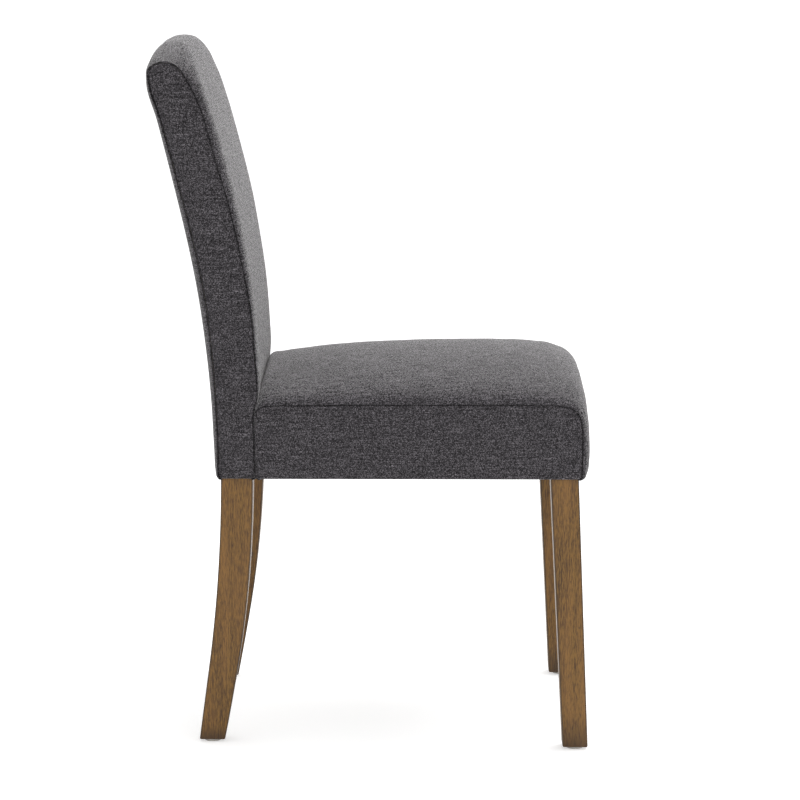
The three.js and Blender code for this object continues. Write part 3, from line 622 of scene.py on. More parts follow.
def linen():
    """Heathered weave of dark and light yarn, with slubs both ways and fibre sheen; a pale grey layer at grazing
    angles is painted sheen, and the seams get painted shade.
    """
    settings = bpy.context.scene.chair_covers
    finish = Finish("linen")
    cloth = finish.uv()
    slub = finish.speckle(cloth, (0.9, 3.6, 1), 2, 0.6) - 0.5
    thread = finish.speckle(cloth, (0.9, 42, 1), 1, 0.6) - 0.5
    across = finish.speckle(cloth, (7, 0.9, 1), 2, 0.7) - 0.5
    patch = finish.speckle(cloth, (26, 26, 1), 2) - 0.5
    colours = finish.cells(cloth, (yarn_pitch, yarn_pitch, 1), 0.35)["Color"]
    fleck = finish.node("SeparateColor", {"Color": colours}, mode="RGB")["Red"]
    warp, weft = (finish.wave("COSINE", cloth, axis, 2 * yarn_pitch) for axis in "XY")
    crossing = warp * weft
    over, round_top = crossing.above(0, 0.5), crossing.math("ABSOLUTE")
    yarn = across * over * 3.4 + (slub * 2.6 + thread * 3.4) * (1.25 - over * 0.6)
    light = yarn + (fleck - 0.5) * 3.6 + patch * 0.4
    # Painted shade along the seams: it darkens the yarn, takes the sheen away and keeps the painted sheen off
    shade = finish.attribute("seam_shade")
    level = 2.1**light * 0.9 * (0.72 + round_top * 0.5) * (1 - 0.6 * shade)
    sockets = {
        "Base_Color": finish.mixed(1.0, settings.yarn, finish.grey(level), "MULTIPLY"),
        "Roughness": 0.95,
        "Specular_IOR_Level": 0.15,
        "Normal": finish.bumped(round_top + yarn * 0.25 + fleck * 0.4, 0.25),
    }
    sunk = finish.principled(**sockets)
    sheen = {"Sheen_Weight": settings.sheen, "Sheen_Roughness": 0.38, "Sheen_Tint": (1, 0.985, 0.98)}
    raised = finish.principled(**sockets, **sheen)
    # Painted sheen: a pale grey layer mixed in where the cloth is seen at grazing angles, over the shader's own
    # sheen
    painted_sheen = finish.principled(Base_Color=(0.62, 0.61, 0.615), Roughness=1.0, Specular_IOR_Level=0.0)
    share_sunk = (0.34 - light * 0.45 - (slub + thread) * 0.8 + shade * 0.8).clamped()
    grazing = finish.node("LayerWeight", {"Blend": 0.5})["Facing"]
    painted_sheen_share = (grazing**6 * (0.28 + light * 0.12) * (1 - shade)).clamped()
    return finish.output(finish.blend(painted_sheen_share, finish.blend(share_sunk, raised, sunk), painted_sheen))


def stained_wood():
    """Brown stained hardwood under satin lacquer: streaks and pores run up the leg, and the rounded edges get
    painted shade.
    """
    settings = bpy.context.scene.chair_wood
    finish = Finish("stained_wood")
    place = finish.object_place()
    streak = finish.speckle(place, (5, 5, 150), 4, 0.6, 0.4) - 0.5
    fine = finish.speckle(place, (1.5, 1.5, 16), 3, 0.7) - 0.5
    pores = finish.speckle(place, (0.9, 0.9, 9)).above(0.63, 0.08)
    warm = finish.speckle(place, (14, 14, 160))
    # Painted shade: the rounded edges are marked, and the stain there is mixed towards a near-black brown
    edge = finish.attribute("painted_edge_shade")
    base = finish.mixed((streak * 2 + fine * 6 + 0.6).clamped(), settings.dark, settings.light)
    base = finish.mixed((warm - 0.35) * 1.2, base, (0.29, 0.14, 0.04))
    base = finish.mixed(pores * 0.7, base, (0.04, 0.021, 0.01))
    return finish.surface(
        Base_Color=finish.mixed(edge * 0.7, base, (0.035, 0.019, 0.009)),
        Roughness=0.5 + fine * 0.2,
        Specular_IOR_Level=0.25,
        Coat_Weight=settings.coat,
        Coat_Roughness=0.25,
        Normal=finish.bumped(fine * 0.4 - pores, 0.12, 0.6),
    )


def sawn_wood():
    """Plain hardwood of the hidden frame."""
    finish = Finish("sawn_wood")
    place = finish.object_place()
    rings = finish.speckle(place, (90, 9, 9), 4, 0.6, 0.5)
    fuzz = finish.speckle(place, (2, 2, 2))
    return finish.surface(
        Base_Color=finish.mixed(((rings - 0.5) * 2 + 0.5).clamped(), (0.42, 0.27, 0.13), (0.62, 0.44, 0.24)),
        Roughness=0.65 + (fuzz - 0.5) * 0.2,
        Normal=finish.bumped((rings + fuzz) * 0.5, 0.2, 0.5),
    )


def foam():
    """Open-cell foam with fine pores."""
    finish = Finish("foam")
    place = finish.object_place()
    pores = finish.cells(place, (1 / 0.7,) * 3)["Distance"]
    base = finish.mixed(finish.speckle(place, (100 / 3,) * 3), (0.72, 0.64, 0.42), (0.8, 0.74, 0.55))
    base = finish.mixed(pores.above(0.6, 0.3) * 0.4, base, (0.5, 0.42, 0.25))
    return finish.surface(Base_Color=base, Roughness=0.95, Normal=finish.bumped(pores, 0.3, 0.7))


def webbing():
    """Dark elastic tape with fine ribs both ways."""
    finish = Finish("webbing")
    place = finish.object_place()
    rib = finish.wave("SINE", place, "X", 2.2) * finish.wave("SINE", place, "Y", 2.2)
    fuzz = finish.speckle(place, (1 / 0.9,) * 3)
    level = (rib * 0.25 + 0.5 + (fuzz - 0.5) * 0.5).clamped()
    base = finish.mixed(level, (0.018, 0.016, 0.014), (0.085, 0.078, 0.07))
    return finish.surface(Base_Color=base, Roughness=0.85, Normal=finish.bumped(rib, 0.25, 0.6))


def spun_cloth():
    """Thin black non-woven cloth with pressed dots."""
    finish = Finish("spun_cloth")
    cloth = finish.uv()
    dots = finish.cells(cloth, (1.6, 1.6, 1), 0.1)["Distance"]
    fuzz = finish.speckle(cloth, (0.8, 3, 1), 3)
    base = finish.mixed(fuzz, (0.006, 0.006, 0.007), (0.028, 0.028, 0.03))
    normal = finish.bumped(dots.above(0.3, 0.2) + fuzz * 0.5, 0.15, 0.6)
    return finish.surface(Base_Color=base, Roughness=0.9, Sheen_Weight=0.15, Normal=normal)


def zinc():
    """Bright zinc plating with slight clouding."""
    finish = Finish("zinc")
    place = finish.object_place()
    cloud = finish.speckle(place, (1 / 0.26,) * 3, 3)
    base = finish.mixed(cloud, (0.45, 0.46, 0.48), (0.66, 0.67, 0.68))
    normal = finish.bumped(finish.speckle(place, (5, 1 / 2.4, 5)), 0.05, 0.3)
    return finish.surface(Base_Color=base, Metallic=1.0, Roughness=0.28 + cloud * 0.2, Normal=normal)


def nylon():
    """Off-white moulded glide, scuffed where it slides."""
    finish = Finish("nylon")
    place = finish.object_place()
    scuff = finish.speckle(place, (2.5, 2.5, 50 / 3), 3)
    low = 1 - (finish.part(place, "Z") / (1.2 * mm)).clamped()
    base = finish.mixed(low * scuff, (0.78, 0.76, 0.71), (0.3, 0.28, 0.25))
    return finish.surface(Base_Color=base, Roughness=0.35 + scuff * 0.2, Normal=finish.bumped(scuff, 0.08, 0.3))


# Outlines of the padded bodies

Row = namedtuple("Row", "seam mid spread crown corner power inset", defaults=(0,))
Body = namedtuple("Body", "rows half_width place floor")


def hermite(places, values, at, slopes):
    """Smooth values in between places, from the values and slopes there."""
    spans = np.diff(places)
    i = np.clip(np.searchsorted(places, at, side="right") - 1, 0, len(spans) - 1)
    t = ((at - places[i]) / spans[i])[:, None]
    rise = (3 - 2 * t) * t * t
    bend = t * (1 - t) ** 2 * slopes[i] + t * t * (t - 1) * slopes[i + 1]
    return values[i] * (1 - rise) + values[i + 1] * rise + bend * spans[i, None]


def lean_at(z):
    """How far back the back's rear stands at a height."""
    places, values = np.array(lean_shares).T
    slopes = np.gradient(values) / np.gradient(places)
    at = np.atleast_1d(np.clip((z - leg_height) / back_height, 0, 1))
    return back_lean * float(hermite(places, values[:, None], at, slopes[:, None])[0, 0])


def tapering(rear, front):
    """Half the width at a depth, from the widths at the rear and at the front of the seat."""
    return lambda y: rear / 2 + (rear - front) / 2 * (y / seat_depth)


seat_half_width = tapering(seat_rear_width, seat_front_width)


def seat_body():
    rows = []
    for seam_y, seam_z, mid_y, mid_z, spread in seat_shares:
        seam = (seam_y * seat_depth - gap, seam_z * seat_side_height)
        mid = (mid_y * seat_depth - gap, mid_z * seat_mid_height)
        rows.append(Row(seam, mid, spread, 0, ellipse_corner, 1 / ellipse_corner))
    return Body(rows, seat_half_width, seat_place, 0)


def joint_at(z):
    """How far back the plane between seat and back stands at a height."""
    return (z - leg_height) * math.tan(seat_tilt)


def back_body():
    rows = []
    for table, line_at, crown in ((back_shares, lean_at, back_crown_share), (joint_shares, joint_at, 0)):
        for seam_z, seam_y, mid_z, mid_y, spread in table:
            heights = (leg_height + part * back_height for part in (seam_z, mid_z))
            seam, mid = ((gap + line_at(z) + y * back_thickness, z) for z, y in zip(heights, (seam_y, mid_y)))
            corner = np.interp(seam_y, (0, ellipse_share), (square_corner, ellipse_corner))
            rows.append(Row(seam, mid, spread, crown, corner, 1 / corner + back_pull + back_softness * spread))
    return Body(rows, tapering(back_width, back_width), back_place, leg_height)


def folds(rise):
    """How far in and how high over the floor line each line of a turned-under edge lies."""
    turns = [math.radians(degrees) for degrees in fold_turns]
    return [(rise * (1 - math.cos(turn)), rise * (1 - math.sin(turn))) for turn in turns] + [(rise + fold_lap, 0)]


def folded_end(row, floor, inwards):
    """Rows that turn an outline's lower end under."""
    rows = []
    for (seam_in, seam_up), (mid_in, mid_up) in zip(folds(row.seam[1] - floor), folds(row.mid[1] - floor)):
        seam = (row.seam[0] + inwards * seam_in, floor + seam_up)
        mid = (row.mid[0] + inwards * mid_in, floor + mid_up)
        rows.append(row._replace(seam=seam, mid=mid, inset=seam_in))
    return rows


def even_rows(body, step):
    """Rows at even steps along an outline, down to where its ends turn under."""
    table = np.array([[*row.seam, *row.mid, *row[2:6]] for row in body.rows])
    places = arc_length(table[:, 0:2] + table[:, 2:4]) / 2
    at = np.linspace(0, places[-1], int(places[-1] / fine_step))
    dense = hermite(places, table, at, np.gradient(table, places, axis=0))
    inside = np.nonzero(dense[:, 1] - body.floor >= fold_radius)[0]
    dense = dense[inside[0] : inside[-1] + 1]
    places = arc_length(dense[:, 0:2] + dense[:, 2:4]) / 2
    at = np.linspace(0, places[-1], 2 * round(places[-1] / step / 2) + 1)
    even = np.stack([np.interp(at, places, column) for column in dense.T], axis=1)
    return [Row(tuple(r[0:2]), tuple(r[2:4]), min(max(r[4], 0), 1), *r[5:8]) for r in even]


def section(row, half_at, inner_count):
    """Points across half a wrap from its seam to its middle, and each one's distance from the seam."""
    across = 1 - np.linspace(0, 1, section_points) ** 2
    seam, mid = np.array(row.seam), np.array(row.mid)
    half = half_at(seam[0])
    reach = edge_round + row.spread * (half - edge_round)
    left = 1 - np.minimum((1 - across) * half / reach, 1)
    round_off = np.maximum(1 - left**row.corner, 0) ** row.power
    rise = (1 - row.crown) * round_off + row.crown * (1 - across * across)
    y, z = seam[:, None] + (mid - seam)[:, None] * rise
    line = np.stack([across * (half_at(y) - row.inset), y, z], axis=1)
    arc = arc_length(line)
    places = np.concatenate([edge_columns, np.linspace(edge_columns[-1], arc[-1], inner_count + 1)[1:]])
    return np.stack([np.interp(places, arc, column) for column in line.T], axis=1), places


def wrap_grid(body, step):
    """Grid of points over a wrap, each point's distance from its seam, and its place on the flat cloth."""
    rows = even_rows(body, step)
    rows = folded_end(rows[0], body.floor, -1)[::-1] + rows + folded_end(rows[-1], body.floor, 1)
    if len(rows) % 2 == 0:
        rows = rows[1:]
    widest = max(body.half_width(row.seam[0]) for row in rows)
    inner_count = 2 * round((widest - edge_columns[-1]) / step / 2) + 1 - len(edge_columns) % 2
    points, gaps, across = [], [], []
    for row in rows:
        half, places = section(row, body.half_width, inner_count)
        points.append(np.vstack([half * (-1, 1, 1), half[-2::-1]]))
        gaps.append(np.concatenate([places, places[-2::-1]]))
        across.append(np.concatenate([places - places[-1], (places[-1] - places)[-2::-1]]))
    points = np.array(points)
    along = arc_length(points[:, points.shape[1] // 2])
    return points, np.array(gaps), np.array(across), np.repeat(along[:, None], points.shape[1], axis=1)


def grid_faces(rows, columns):
    corner = (np.arange(rows - 1)[:, None] * columns + np.arange(columns - 1)[None, :]).ravel()
    return np.stack([corner, corner + 1, corner + columns + 1, corner + columns], axis=1)


def finer(values, shape):
    """A coarse grid of values, at every point of a finer grid over it."""
    for count in shape[::-1]:
        at, places = np.linspace(0, values.shape[1] - 1, count), np.arange(values.shape[1])
        values = np.stack([np.interp(at, places, row) for row in values]).T
    return values


# Cloth


def swollen(name, points, faces, held, most):
    """How far a filling under pressure pushes out each point of a held cloth: 99 of 100 move at most this far."""
    piece = new_piece(name, points, faces)
    piece.vertex_groups.new(name="held").add(np.nonzero(held)[0].tolist(), 1, "REPLACE")
    cloth = piece.modifiers.new("Cloth", "CLOTH")
    for key, value in cloth_settings.items():
        setattr(cloth.settings, key, value)
    cloth.settings.effector_weights.gravity = 0
    cloth.point_cache.frame_start = 1
    cloth.point_cache.frame_end = cloth_frames
    for number in range(1, cloth_frames + 1):
        bpy.context.scene.frame_set(number)
    pick(piece)
    bpy.ops.object.modifier_apply(modifier=cloth.name)
    moved = read_points(piece.data) - points
    out = np.clip(np.einsum("ij,ij->i", moved, read_points(piece.data, "normal")), 0, None)
    delete(piece)
    bpy.context.scene.frame_set(1)
    return out * most / max(np.percentile(out, 99), tiny)


def seam_relief(gaps, along, seed):
    """How far the cloth stands out at each distance from a seam: the sunk line and its puckers."""
    settings = bpy.context.scene.chair_covers
    groove = -settings.groove / (1 + (gaps / settings.groove_width) ** 2) ** 1.5
    close = gaps < edge_columns[-1]
    pucker = np.zeros_like(gaps)
    values = np.stack([along[close] / pucker_size[0], gaps[close] / pucker_size[1]], axis=1)
    pucker[close] = ripple(values, seed) + fine_pucker_share * ripple(values * fine_pucker_scale, seed + 5)
    return groove + settings.pucker * np.exp(-gaps / pucker_reach) * pucker


def slow_waves(points, seed):
    waves = [noise.noise(Vector(p) / wave_size + Vector((seed, 0, 0))) for p in points.reshape(-1, 3)]
    return bpy.context.scene.chair_covers.unevenness * np.array(waves).reshape(points.shape[:-1])


def leg_cleared(points):
    """Pulls a cover out past the rear legs where they come through its lower edge."""
    x, y, z = np.abs(points[:, 0]), points[:, 1], points[:, 2]
    rear = rear_leg_section(leg_height)[3]
    beside = ramp(rear_leg_outer + clear_beside - x, 2 * mm) * ramp(x - rear_leg_outer + clear_inside, 2 * mm)
    low = ramp(leg_height + clear_above - z, 4 * mm) * (y > rear - clear_behind)
    points[:, 1] += np.maximum(rear + clear_gap - y, 0) * beside * low
    return points


def sew(piece, uv, gaps, node):
    """Makes a cloth surface a cover: its thickness, its weave and the dark line of its seam."""
    flat_uv(piece, uv)
    # Painted shade: a dark line along the seam, over the shade of the sunk groove
    vertex_value(piece, "seam_shade", np.exp(-((gaps / seam_line) ** 2)).ravel())
    wall = bpy.context.scene.chair_covers.wall
    modify(piece, "SOLIDIFY", thickness=wall, offset=-1, use_even_offset=False, use_rim=True)
    smooth(piece, cover_smooth)
    finish_piece(piece, linen, node)


def build_wrap(name, body, calm_reach, node, seed, weft=0, clear=None):
    """The band of a cover that runs round a padded body from one lower edge to the other.

    It doesn't swell near the first edge, or near the last where the reach is negative.
    """
    settings = bpy.context.scene.chair_covers
    points, gaps, across, along = wrap_grid(body, settings.step)
    normals = np.cross(np.gradient(points, axis=1), np.gradient(points, axis=0))
    normals /= np.maximum(np.linalg.norm(normals, axis=2, keepdims=True), tiny)
    shape = gaps.shape
    from_edge = along[:, 0] if calm_reach > 0 else along[-1, 0] - along[:, 0]
    calm = np.where(from_edge < abs(calm_reach), 0.0, 1.0)
    calm[:fold_rows] = calm[-fold_rows:] = 0
    kernel = np.hanning(2 * calm_rows + 1)
    calm = np.convolve(np.pad(calm, calm_rows, mode="edge"), kernel / kernel.sum(), "valid")[:, None]
    middle_swell = settings.wrap_swell / 2
    coarse = points[::2, ::2] - normals[::2, ::2] * middle_swell
    held = (gaps[::2, ::2] < seam_reach) | (calm[::2] < 0.5)
    faces = grid_faces(*held.shape)
    out = swollen(name + "_swell", coarse.reshape(-1, 3), faces, held.ravel(), settings.wrap_swell)
    lift = slow_waves(points, seed)
    if out is not None:
        lift += finer(out.reshape(held.shape), shape) - middle_swell
    lift = lift * calm * faded(gaps, edge_fade) + seam_relief(gaps, along + (across > 0) * pucker_shift, seed)
    world = placed((points + normals * lift[..., None]).reshape(-1, 3), body.place)
    piece = new_piece(name, clear(world) if clear else world, grid_faces(*shape))
    sew(piece, np.roll(np.stack([along.ravel(), across.ravel()], axis=1), weft, axis=1), gaps, node)


def nearest_on(points, starts, runs):
    """Each point's distance from the nearest of some straight lines, which one it is, and the share along it."""
    spans = np.maximum((runs * runs).sum(axis=1), tiny)
    found = []
    for p in points:
        t = np.clip(((p - starts) * runs).sum(axis=1) / spans, 0, 1)
        distance = np.hypot(*(starts + runs * t[:, None] - p).T)
        i = distance.argmin()
        found.append((distance[i], i, t[i]))
    distance, i, t = np.array(found).T
    return distance, i.astype(int), t


def seam_gaps(flat, curve):
    """Each point's distance from a line, and how far along the line its nearest point is."""
    gaps, i, t = nearest_on(flat, curve[:-1], np.diff(curve, axis=0))
    places = arc_length(curve)
    return gaps, places[i] + t * np.diff(places)[i]


def within(points, outline):
    """Which points lie inside a closed outline."""
    y, z = points[:, :1], points[:, 1:]
    a, b = outline, np.roll(outline, -1, axis=0)
    crossed = (a[:, 1] > z) != (b[:, 1] > z)
    span = np.where(a[:, 1] == b[:, 1], 1, b[:, 1] - a[:, 1])
    place = a[:, 0] + (z - a[:, 1]) * (b[:, 0] - a[:, 0]) / span
    return (crossed & (y < place)).sum(axis=1) % 2 == 1


def panel_net(curve, step):
    """Flat triangles inside a side seam, and the ends of its open lower edge from front to rear."""
    count = round(abs(curve[-1, 0] - curve[0, 0]) / step)
    outline = np.vstack([curve, np.linspace(curve[-1], curve[0], count + 1)[1:-1]])
    low = max(curve[0, 1], curve[-1, 1])
    run = np.gradient(curve, axis=0)
    inwards = np.stack([-run[:, 1], run[:, 0]], axis=1) / np.linalg.norm(run, axis=1)[:, None]
    points = [outline]
    for width in panel_columns:
        line = curve + inwards * width
        gaps, _ = seam_gaps(line, curve)
        points.append(line[(gaps > 0.98 * width) & (line[:, 1] > low + step / 2)])
    for number, z in enumerate(np.arange(low + step, curve[:, 1].max(), step * panel_row_share)):
        y = np.arange(curve[:, 0].min() + step * (number % 2) / 2, curve[:, 0].max(), step)
        line = np.stack([y, np.full(len(y), z)], axis=1)
        line = line[within(line, outline)]
        if len(line):
            gaps, _ = seam_gaps(line, curve)
            points.append(line[gaps > panel_columns[-1] + step * panel_clearance_share])
    edge = [(i, (i + 1) % len(outline)) for i in range(len(outline))]
    made = geometry.delaunay_2d_cdt([Vector(p) for p in np.vstack(points)], edge, [], 1, 1e-7)
    named = {old: new for new, olds in enumerate(made[3]) for old in olds}
    lower = [named[i] for i in (*range(len(curve) - 1, len(outline)), 0)]
    return np.array([tuple(p) for p in made[0]]), [list(f) for f in made[2]], lower


def build_panel(name, body, side, node, seed):
    """A flat side panel, swollen by its filling, sewn in at its edge and turned under at the bottom."""
    settings = bpy.context.scene.chair_covers
    curve = np.array([row.seam for row in even_rows(body, settings.panel_step)])
    flat, faces, lower = panel_net(curve, settings.panel_step)
    gaps, along = seam_gaps(flat, curve)
    points = np.stack([side * body.half_width(flat[:, 0]), flat[:, 0], flat[:, 1]], axis=1)
    held = gaps < seam_reach
    held[lower] = True
    swell = swollen(name + "_swell", points, faces, held, settings.panel_swell)
    lift = np.zeros(len(points)) if swell is None else swell * faded(gaps, panel_edge_fade)
    fade = ramp(flat[:, 1] - body.floor - fold_radius, panel_low_fade)
    lift += slow_waves(points, seed) * fade * faded(gaps, edge_fade)
    lift += seam_relief(gaps, along, seed)
    points[:, 0] += side * lift
    y, rise = flat[lower].T - [[0], [body.floor]]
    share_back = (y - y[0]) / (y[-1] - y[0])
    previous, cloth, drop = lower, [flat], 0
    for number in range(len(fold_turns) + 1):
        inset, up = np.array([folds(r)[number] for r in rise]).T
        x = body.half_width(y) - inset + lift[lower] * (up / rise)
        turned = (y[0] + inset[0]) * (1 - share_back) + (y[-1] - inset[-1]) * share_back
        names = list(range(len(points), len(points) + len(up)))
        faces += [[previous[i], previous[i + 1], names[i + 1], names[i]] for i in range(len(names) - 1)]
        points = np.vstack([points, np.stack([side * x, turned, body.floor + up], axis=1)])
        drop += fold_radius * math.pi / 8 if number < len(fold_turns) else fold_lap
        cloth.append(flat[lower] - [[0, drop]])
        gaps = np.concatenate([gaps, gaps[lower]])
        previous = names
    piece = new_piece(name, placed(points, body.place), faces)
    edit(piece)
    bpy.ops.mesh.select_all(action="SELECT")
    bpy.ops.mesh.normals_make_consistent(inside=False)
    if sum(face.normal.x * face.calc_area() for face in bmesh.from_edit_mesh(piece.data).faces) * side < 0:
        bpy.ops.mesh.flip_normals()
    bpy.ops.object.mode_set(mode="OBJECT")
    sew(piece, np.vstack(cloth)[:, ::-1], gaps, node)


# Legs, from their outlines


def sweep_at(z):
    drop = max(leg_height - z, 0)
    bend_length = 2 * (leg_height - foot_height - rear_leg_sweep / sweep_slope)
    bent = min(drop, bend_length)
    return sweep_slope * (bent * bent / (2 * bend_length) + drop - bent)


def rear_leg_section(z):
    """Inner and outer x, and front and rear y, of a rear leg at a height."""
    u = min((z - foot_height) / (leg_height - foot_height), 1)
    if z < shoulder[1]:
        depth = rear_leg_top[1] + (rear_leg_foot[1] - rear_leg_top[1]) * (1 - u) ** leg_taper_power
    else:
        t = ramp(z - leg_height - stile_thinning[0], stile_thinning[1] - stile_thinning[0])
        depth = stile_depths[0] + (stile_depths[1] - stile_depths[0]) * t * t * (3 - 2 * t)
    if z < leg_height:
        width = rear_leg_foot[0] + (rear_leg_top[0] - rear_leg_foot[0]) * u
    else:
        width = rear_leg_top[0] + (stile_top_width - rear_leg_top[0]) * (z - leg_height) / stile_height
    rear = joint_plane + joint_wood + stile_depths[0] + lean_at(z) + sweep_at(z)
    return rear_leg_outer - width, rear_leg_outer, rear - depth, rear


def front_leg_sections():
    """Sections of a front leg, up to the seat's bottom and on to its rail's top."""
    outer = (seat_half_width(frame_front) + seat_half_width(frame_front + front_leg_top)) / 2 - seat_rail_inset
    foot_front = joint_plane + frame_front - front_leg_rake
    bottom, top = (seat_place @ Vector((0, frame_front, z)) for z in (0, seat_rail_top))
    sections = []
    for z in np.linspace(foot_height, bottom.z, front_leg_steps):
        t = (z - foot_height) / (bottom.z - foot_height)
        wide = front_leg_foot + (front_leg_top - front_leg_foot) * t
        front = foot_front + (bottom.y - foot_front) * t
        sections.append((z, outer - wide, outer, front, front + wide))
    return sections + [(top.z, outer - front_leg_top, outer, top.y, top.y + front_leg_top)]


def grow_leg(name, side, sections):
    """A leg from a block that is extruded through its sections: each is (z, inner, outer, front, rear)."""
    heights, inner, outer, front, rear = np.array(sections).T
    middles = np.stack([side * (inner + outer) / 2, (front + rear) / 2, heights], axis=1)
    sizes = np.stack([outer - inner, rear - front, np.ones(len(heights))], axis=1)
    alone()
    size = (*sizes[0, :2], heights[1] - heights[0])
    place = (*middles[0, :2], (heights[0] + heights[1]) / 2)
    bpy.ops.mesh.primitive_cube_add(size=1, location=place, scale=size)
    piece = named_primitive(name)
    edit(piece)
    select_faces(piece, lambda face: face.normal.z > facing)
    for number in range(1, len(sections)):
        last, now = middles[number - 1], middles[number]
        if number > 1:
            rise = (0, 0, now[2] - last[2])
            bpy.ops.mesh.extrude_region_move(TRANSFORM_OT_translate={"value": rise})
        centre = (last[0], last[1], now[2])
        bpy.ops.transform.resize(value=tuple(sizes[number] / sizes[number - 1]), center_override=centre)
        bpy.ops.transform.translate(value=(now[0] - last[0], now[1] - last[1], 0))
    bpy.ops.object.mode_set(mode="OBJECT")
    return piece


def bore(place, direction, radius, depth):
    """A round cutter with its middle at a place, along a direction."""
    alone()
    bpy.ops.mesh.primitive_cylinder_add(vertices=bore_sides, radius=radius, depth=depth)
    cutter = named_primitive("bore")
    turn = Vector((0, 0, 1)).rotation_difference(Vector(direction))
    cutter.matrix_world = Matrix.Translation(place) @ turn.to_matrix().to_4x4()
    at_origin(cutter)
    return cutter


def nail_bore(node):
    middle = middle_of(node)
    middle.z = foot_height + nail_hole_depth / 2 - bore_overrun
    return bore(middle, (0, 0, 1), nail_hole_radius, nail_hole_depth + 2 * bore_overrun)


def finish_leg(piece, cutters, node):
    """Rounds a leg's edges, marks them for painted shade, takes each cutter out and stains the leg."""
    bevel(piece, bpy.context.scene.chair_wood.edge, 4, 40)
    # Faces of the rounded edges are marked for painted shade in the stain
    edge_shade_mask = np.zeros(len(piece.data.vertices))
    for polygon in piece.data.polygons:
        if max(abs(part) for part in polygon.normal) < square_normal:
            edge_shade_mask[list(polygon.vertices)] = 1
    vertex_value(piece, "painted_edge_shade", edge_shade_mask)
    for cutter in cutters:
        modify(piece, "BOOLEAN", operation="DIFFERENCE", solver="EXACT", object=cutter)
        delete(cutter)
    smooth(piece, 35)
    finish_piece(piece, stained_wood, node)


# Operators


class CHAIR_OT_seat_cover(bpy.types.Operator):
    """Sews the seat's cover: a wrap over the crown and a panel at each side"""

    bl_idname = "chair.seat_cover"
    bl_label = "Seat cover"

    def execute(self, context):
        body = seat_body()
        build_wrap("seat_cover_wrap", body, seat_side_height * seat_calm_share, "seat_cover", seed=1.5, weft=1)
        for word, side in SIDES:
            build_panel("seat_side_panel_" + word, body, side, "seat_side_cover_" + word, seed=4.5 + side)
        return {"FINISHED"}


class CHAIR_OT_back_cover(bpy.types.Operator):
    """Sews the back's cover: a wrap over the top and a panel at each side"""

    bl_idname = "chair.back_cover"
    bl_label = "Back cover"

    def execute(self, context):
        body = back_body()
        calm_reach = -back_height * back_calm_share
        build_wrap("back_cover_wrap", body, calm_reach, "back_cover", seed=11.5, clear=leg_cleared)
        for word, side in SIDES:
            build_panel("back_side_panel_" + word, body, side, "back_side_cover_" + word, seed=14.5 + side)
        return {"FINISHED"}


class CHAIR_OT_rear_legs(bpy.types.Operator):
    """Shapes the rear legs with their stiles"""

    bl_idname = "chair.rear_legs"
    bl_label = "Rear legs"

    def execute(self, context):
        below = np.linspace(foot_height, leg_height, rear_leg_steps)
        above = np.linspace(leg_height, leg_height + stile_height, stile_steps)[1:]
        heights = (*below, *shoulder, *(z for z in above if z > shoulder[1] + gap))
        sections = [(z, *rear_leg_section(z)) for z in heights]
        along = (0, math.cos(seat_tilt), -math.sin(seat_tilt))
        for word, side in SIDES:
            piece = grow_leg("rear_leg_wood_" + word, side, sections)
            cutters = [nail_bore("rear_glide_" + word)]
            for level in ("lower", "upper"):
                low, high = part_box("insert_nut_" + word + "_" + level)
                place = Vector(((low.x + high.x) / 2, low.y + insert_hole_middle, (low.z + high.z) / 2))
                cutters.append(bore(place, along, (high.x - low.x) / 2 + gap, insert_hole_depth))
            finish_leg(piece, cutters, "rear_leg_" + word)
        return {"FINISHED"}


class CHAIR_OT_front_legs(bpy.types.Operator):
    """Shapes the tapered front legs"""

    bl_idname = "chair.front_legs"
    bl_label = "Front legs"

    def execute(self, context):
        sections = front_leg_sections()
        for word, side in SIDES:
            piece = grow_leg("front_leg_wood_" + word, side, sections)
            node = "hanger_bolt_" + word
            low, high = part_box(node)
            depth = (high.x - low.x) * math.sqrt(2) + bore_overrun
            cutters = [
                nail_bore("front_glide_" + word),
                bore(middle_of(node), Vector((-side, 1, 0)).normalized(), hanger_hole_radius, depth),
            ]
            finish_leg(piece, cutters, "front_leg_" + word)
        return {"FINISHED"}


class CHAIR_OT_glides(bpy.types.Operator):
    """Turns the nail-on glides under the feet"""

    bl_idname = "chair.glides"
    bl_label = "Glides"

    def execute(self, context):
        low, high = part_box("rear_glide_right")
        first = self.turned_glide((high.x - low.x) / 2, high.z)
        for node in (end + "_glide_" + word for end in ("rear", "front") for word, _ in SIDES):
            piece = linked(node + "_disc", first.data.copy())
            piece.location = middle_of(node) * Vector((1, 1, 0))
            at_origin(piece)
            finish_piece(piece, nylon, node)
        delete(first)
        return {"FINISHED"}

    def turned_glide(self, radius, top):
        alone()
        middle = (0, 0, glide_height / 2)
        bpy.ops.mesh.primitive_cylinder_add(vertices=glide_sides, radius=radius, depth=glide_height, location=middle)
        piece = named_primitive("glide_first")
        edit(piece)
        select_faces(piece, lambda face: face.normal.z < -facing)
        bpy.ops.mesh.inset(thickness=radius - glide_hollow)
        bpy.ops.mesh.inset(thickness=glide_hollow_wall)
        bpy.ops.transform.translate(value=(0, 0, glide_hollow_depth))
        select_faces(piece, lambda face: face.normal.z > facing and face.calc_center_median().z > glide_height / 2)
        bpy.ops.mesh.inset(thickness=radius - nail_radius)
        for rise in (top - glide_height - nail_point, nail_point):
            bpy.ops.mesh.extrude_region_move(TRANSFORM_OT_translate={"value": (0, 0, rise)})
        bpy.ops.transform.resize(value=(nail_point_share, nail_point_share, 1), center_override=(0, 0, top))
        bpy.ops.object.mode_set(mode="OBJECT")
        bevel(piece, glide_edge, 3, 60)
        smooth(piece, 40)
        return piece


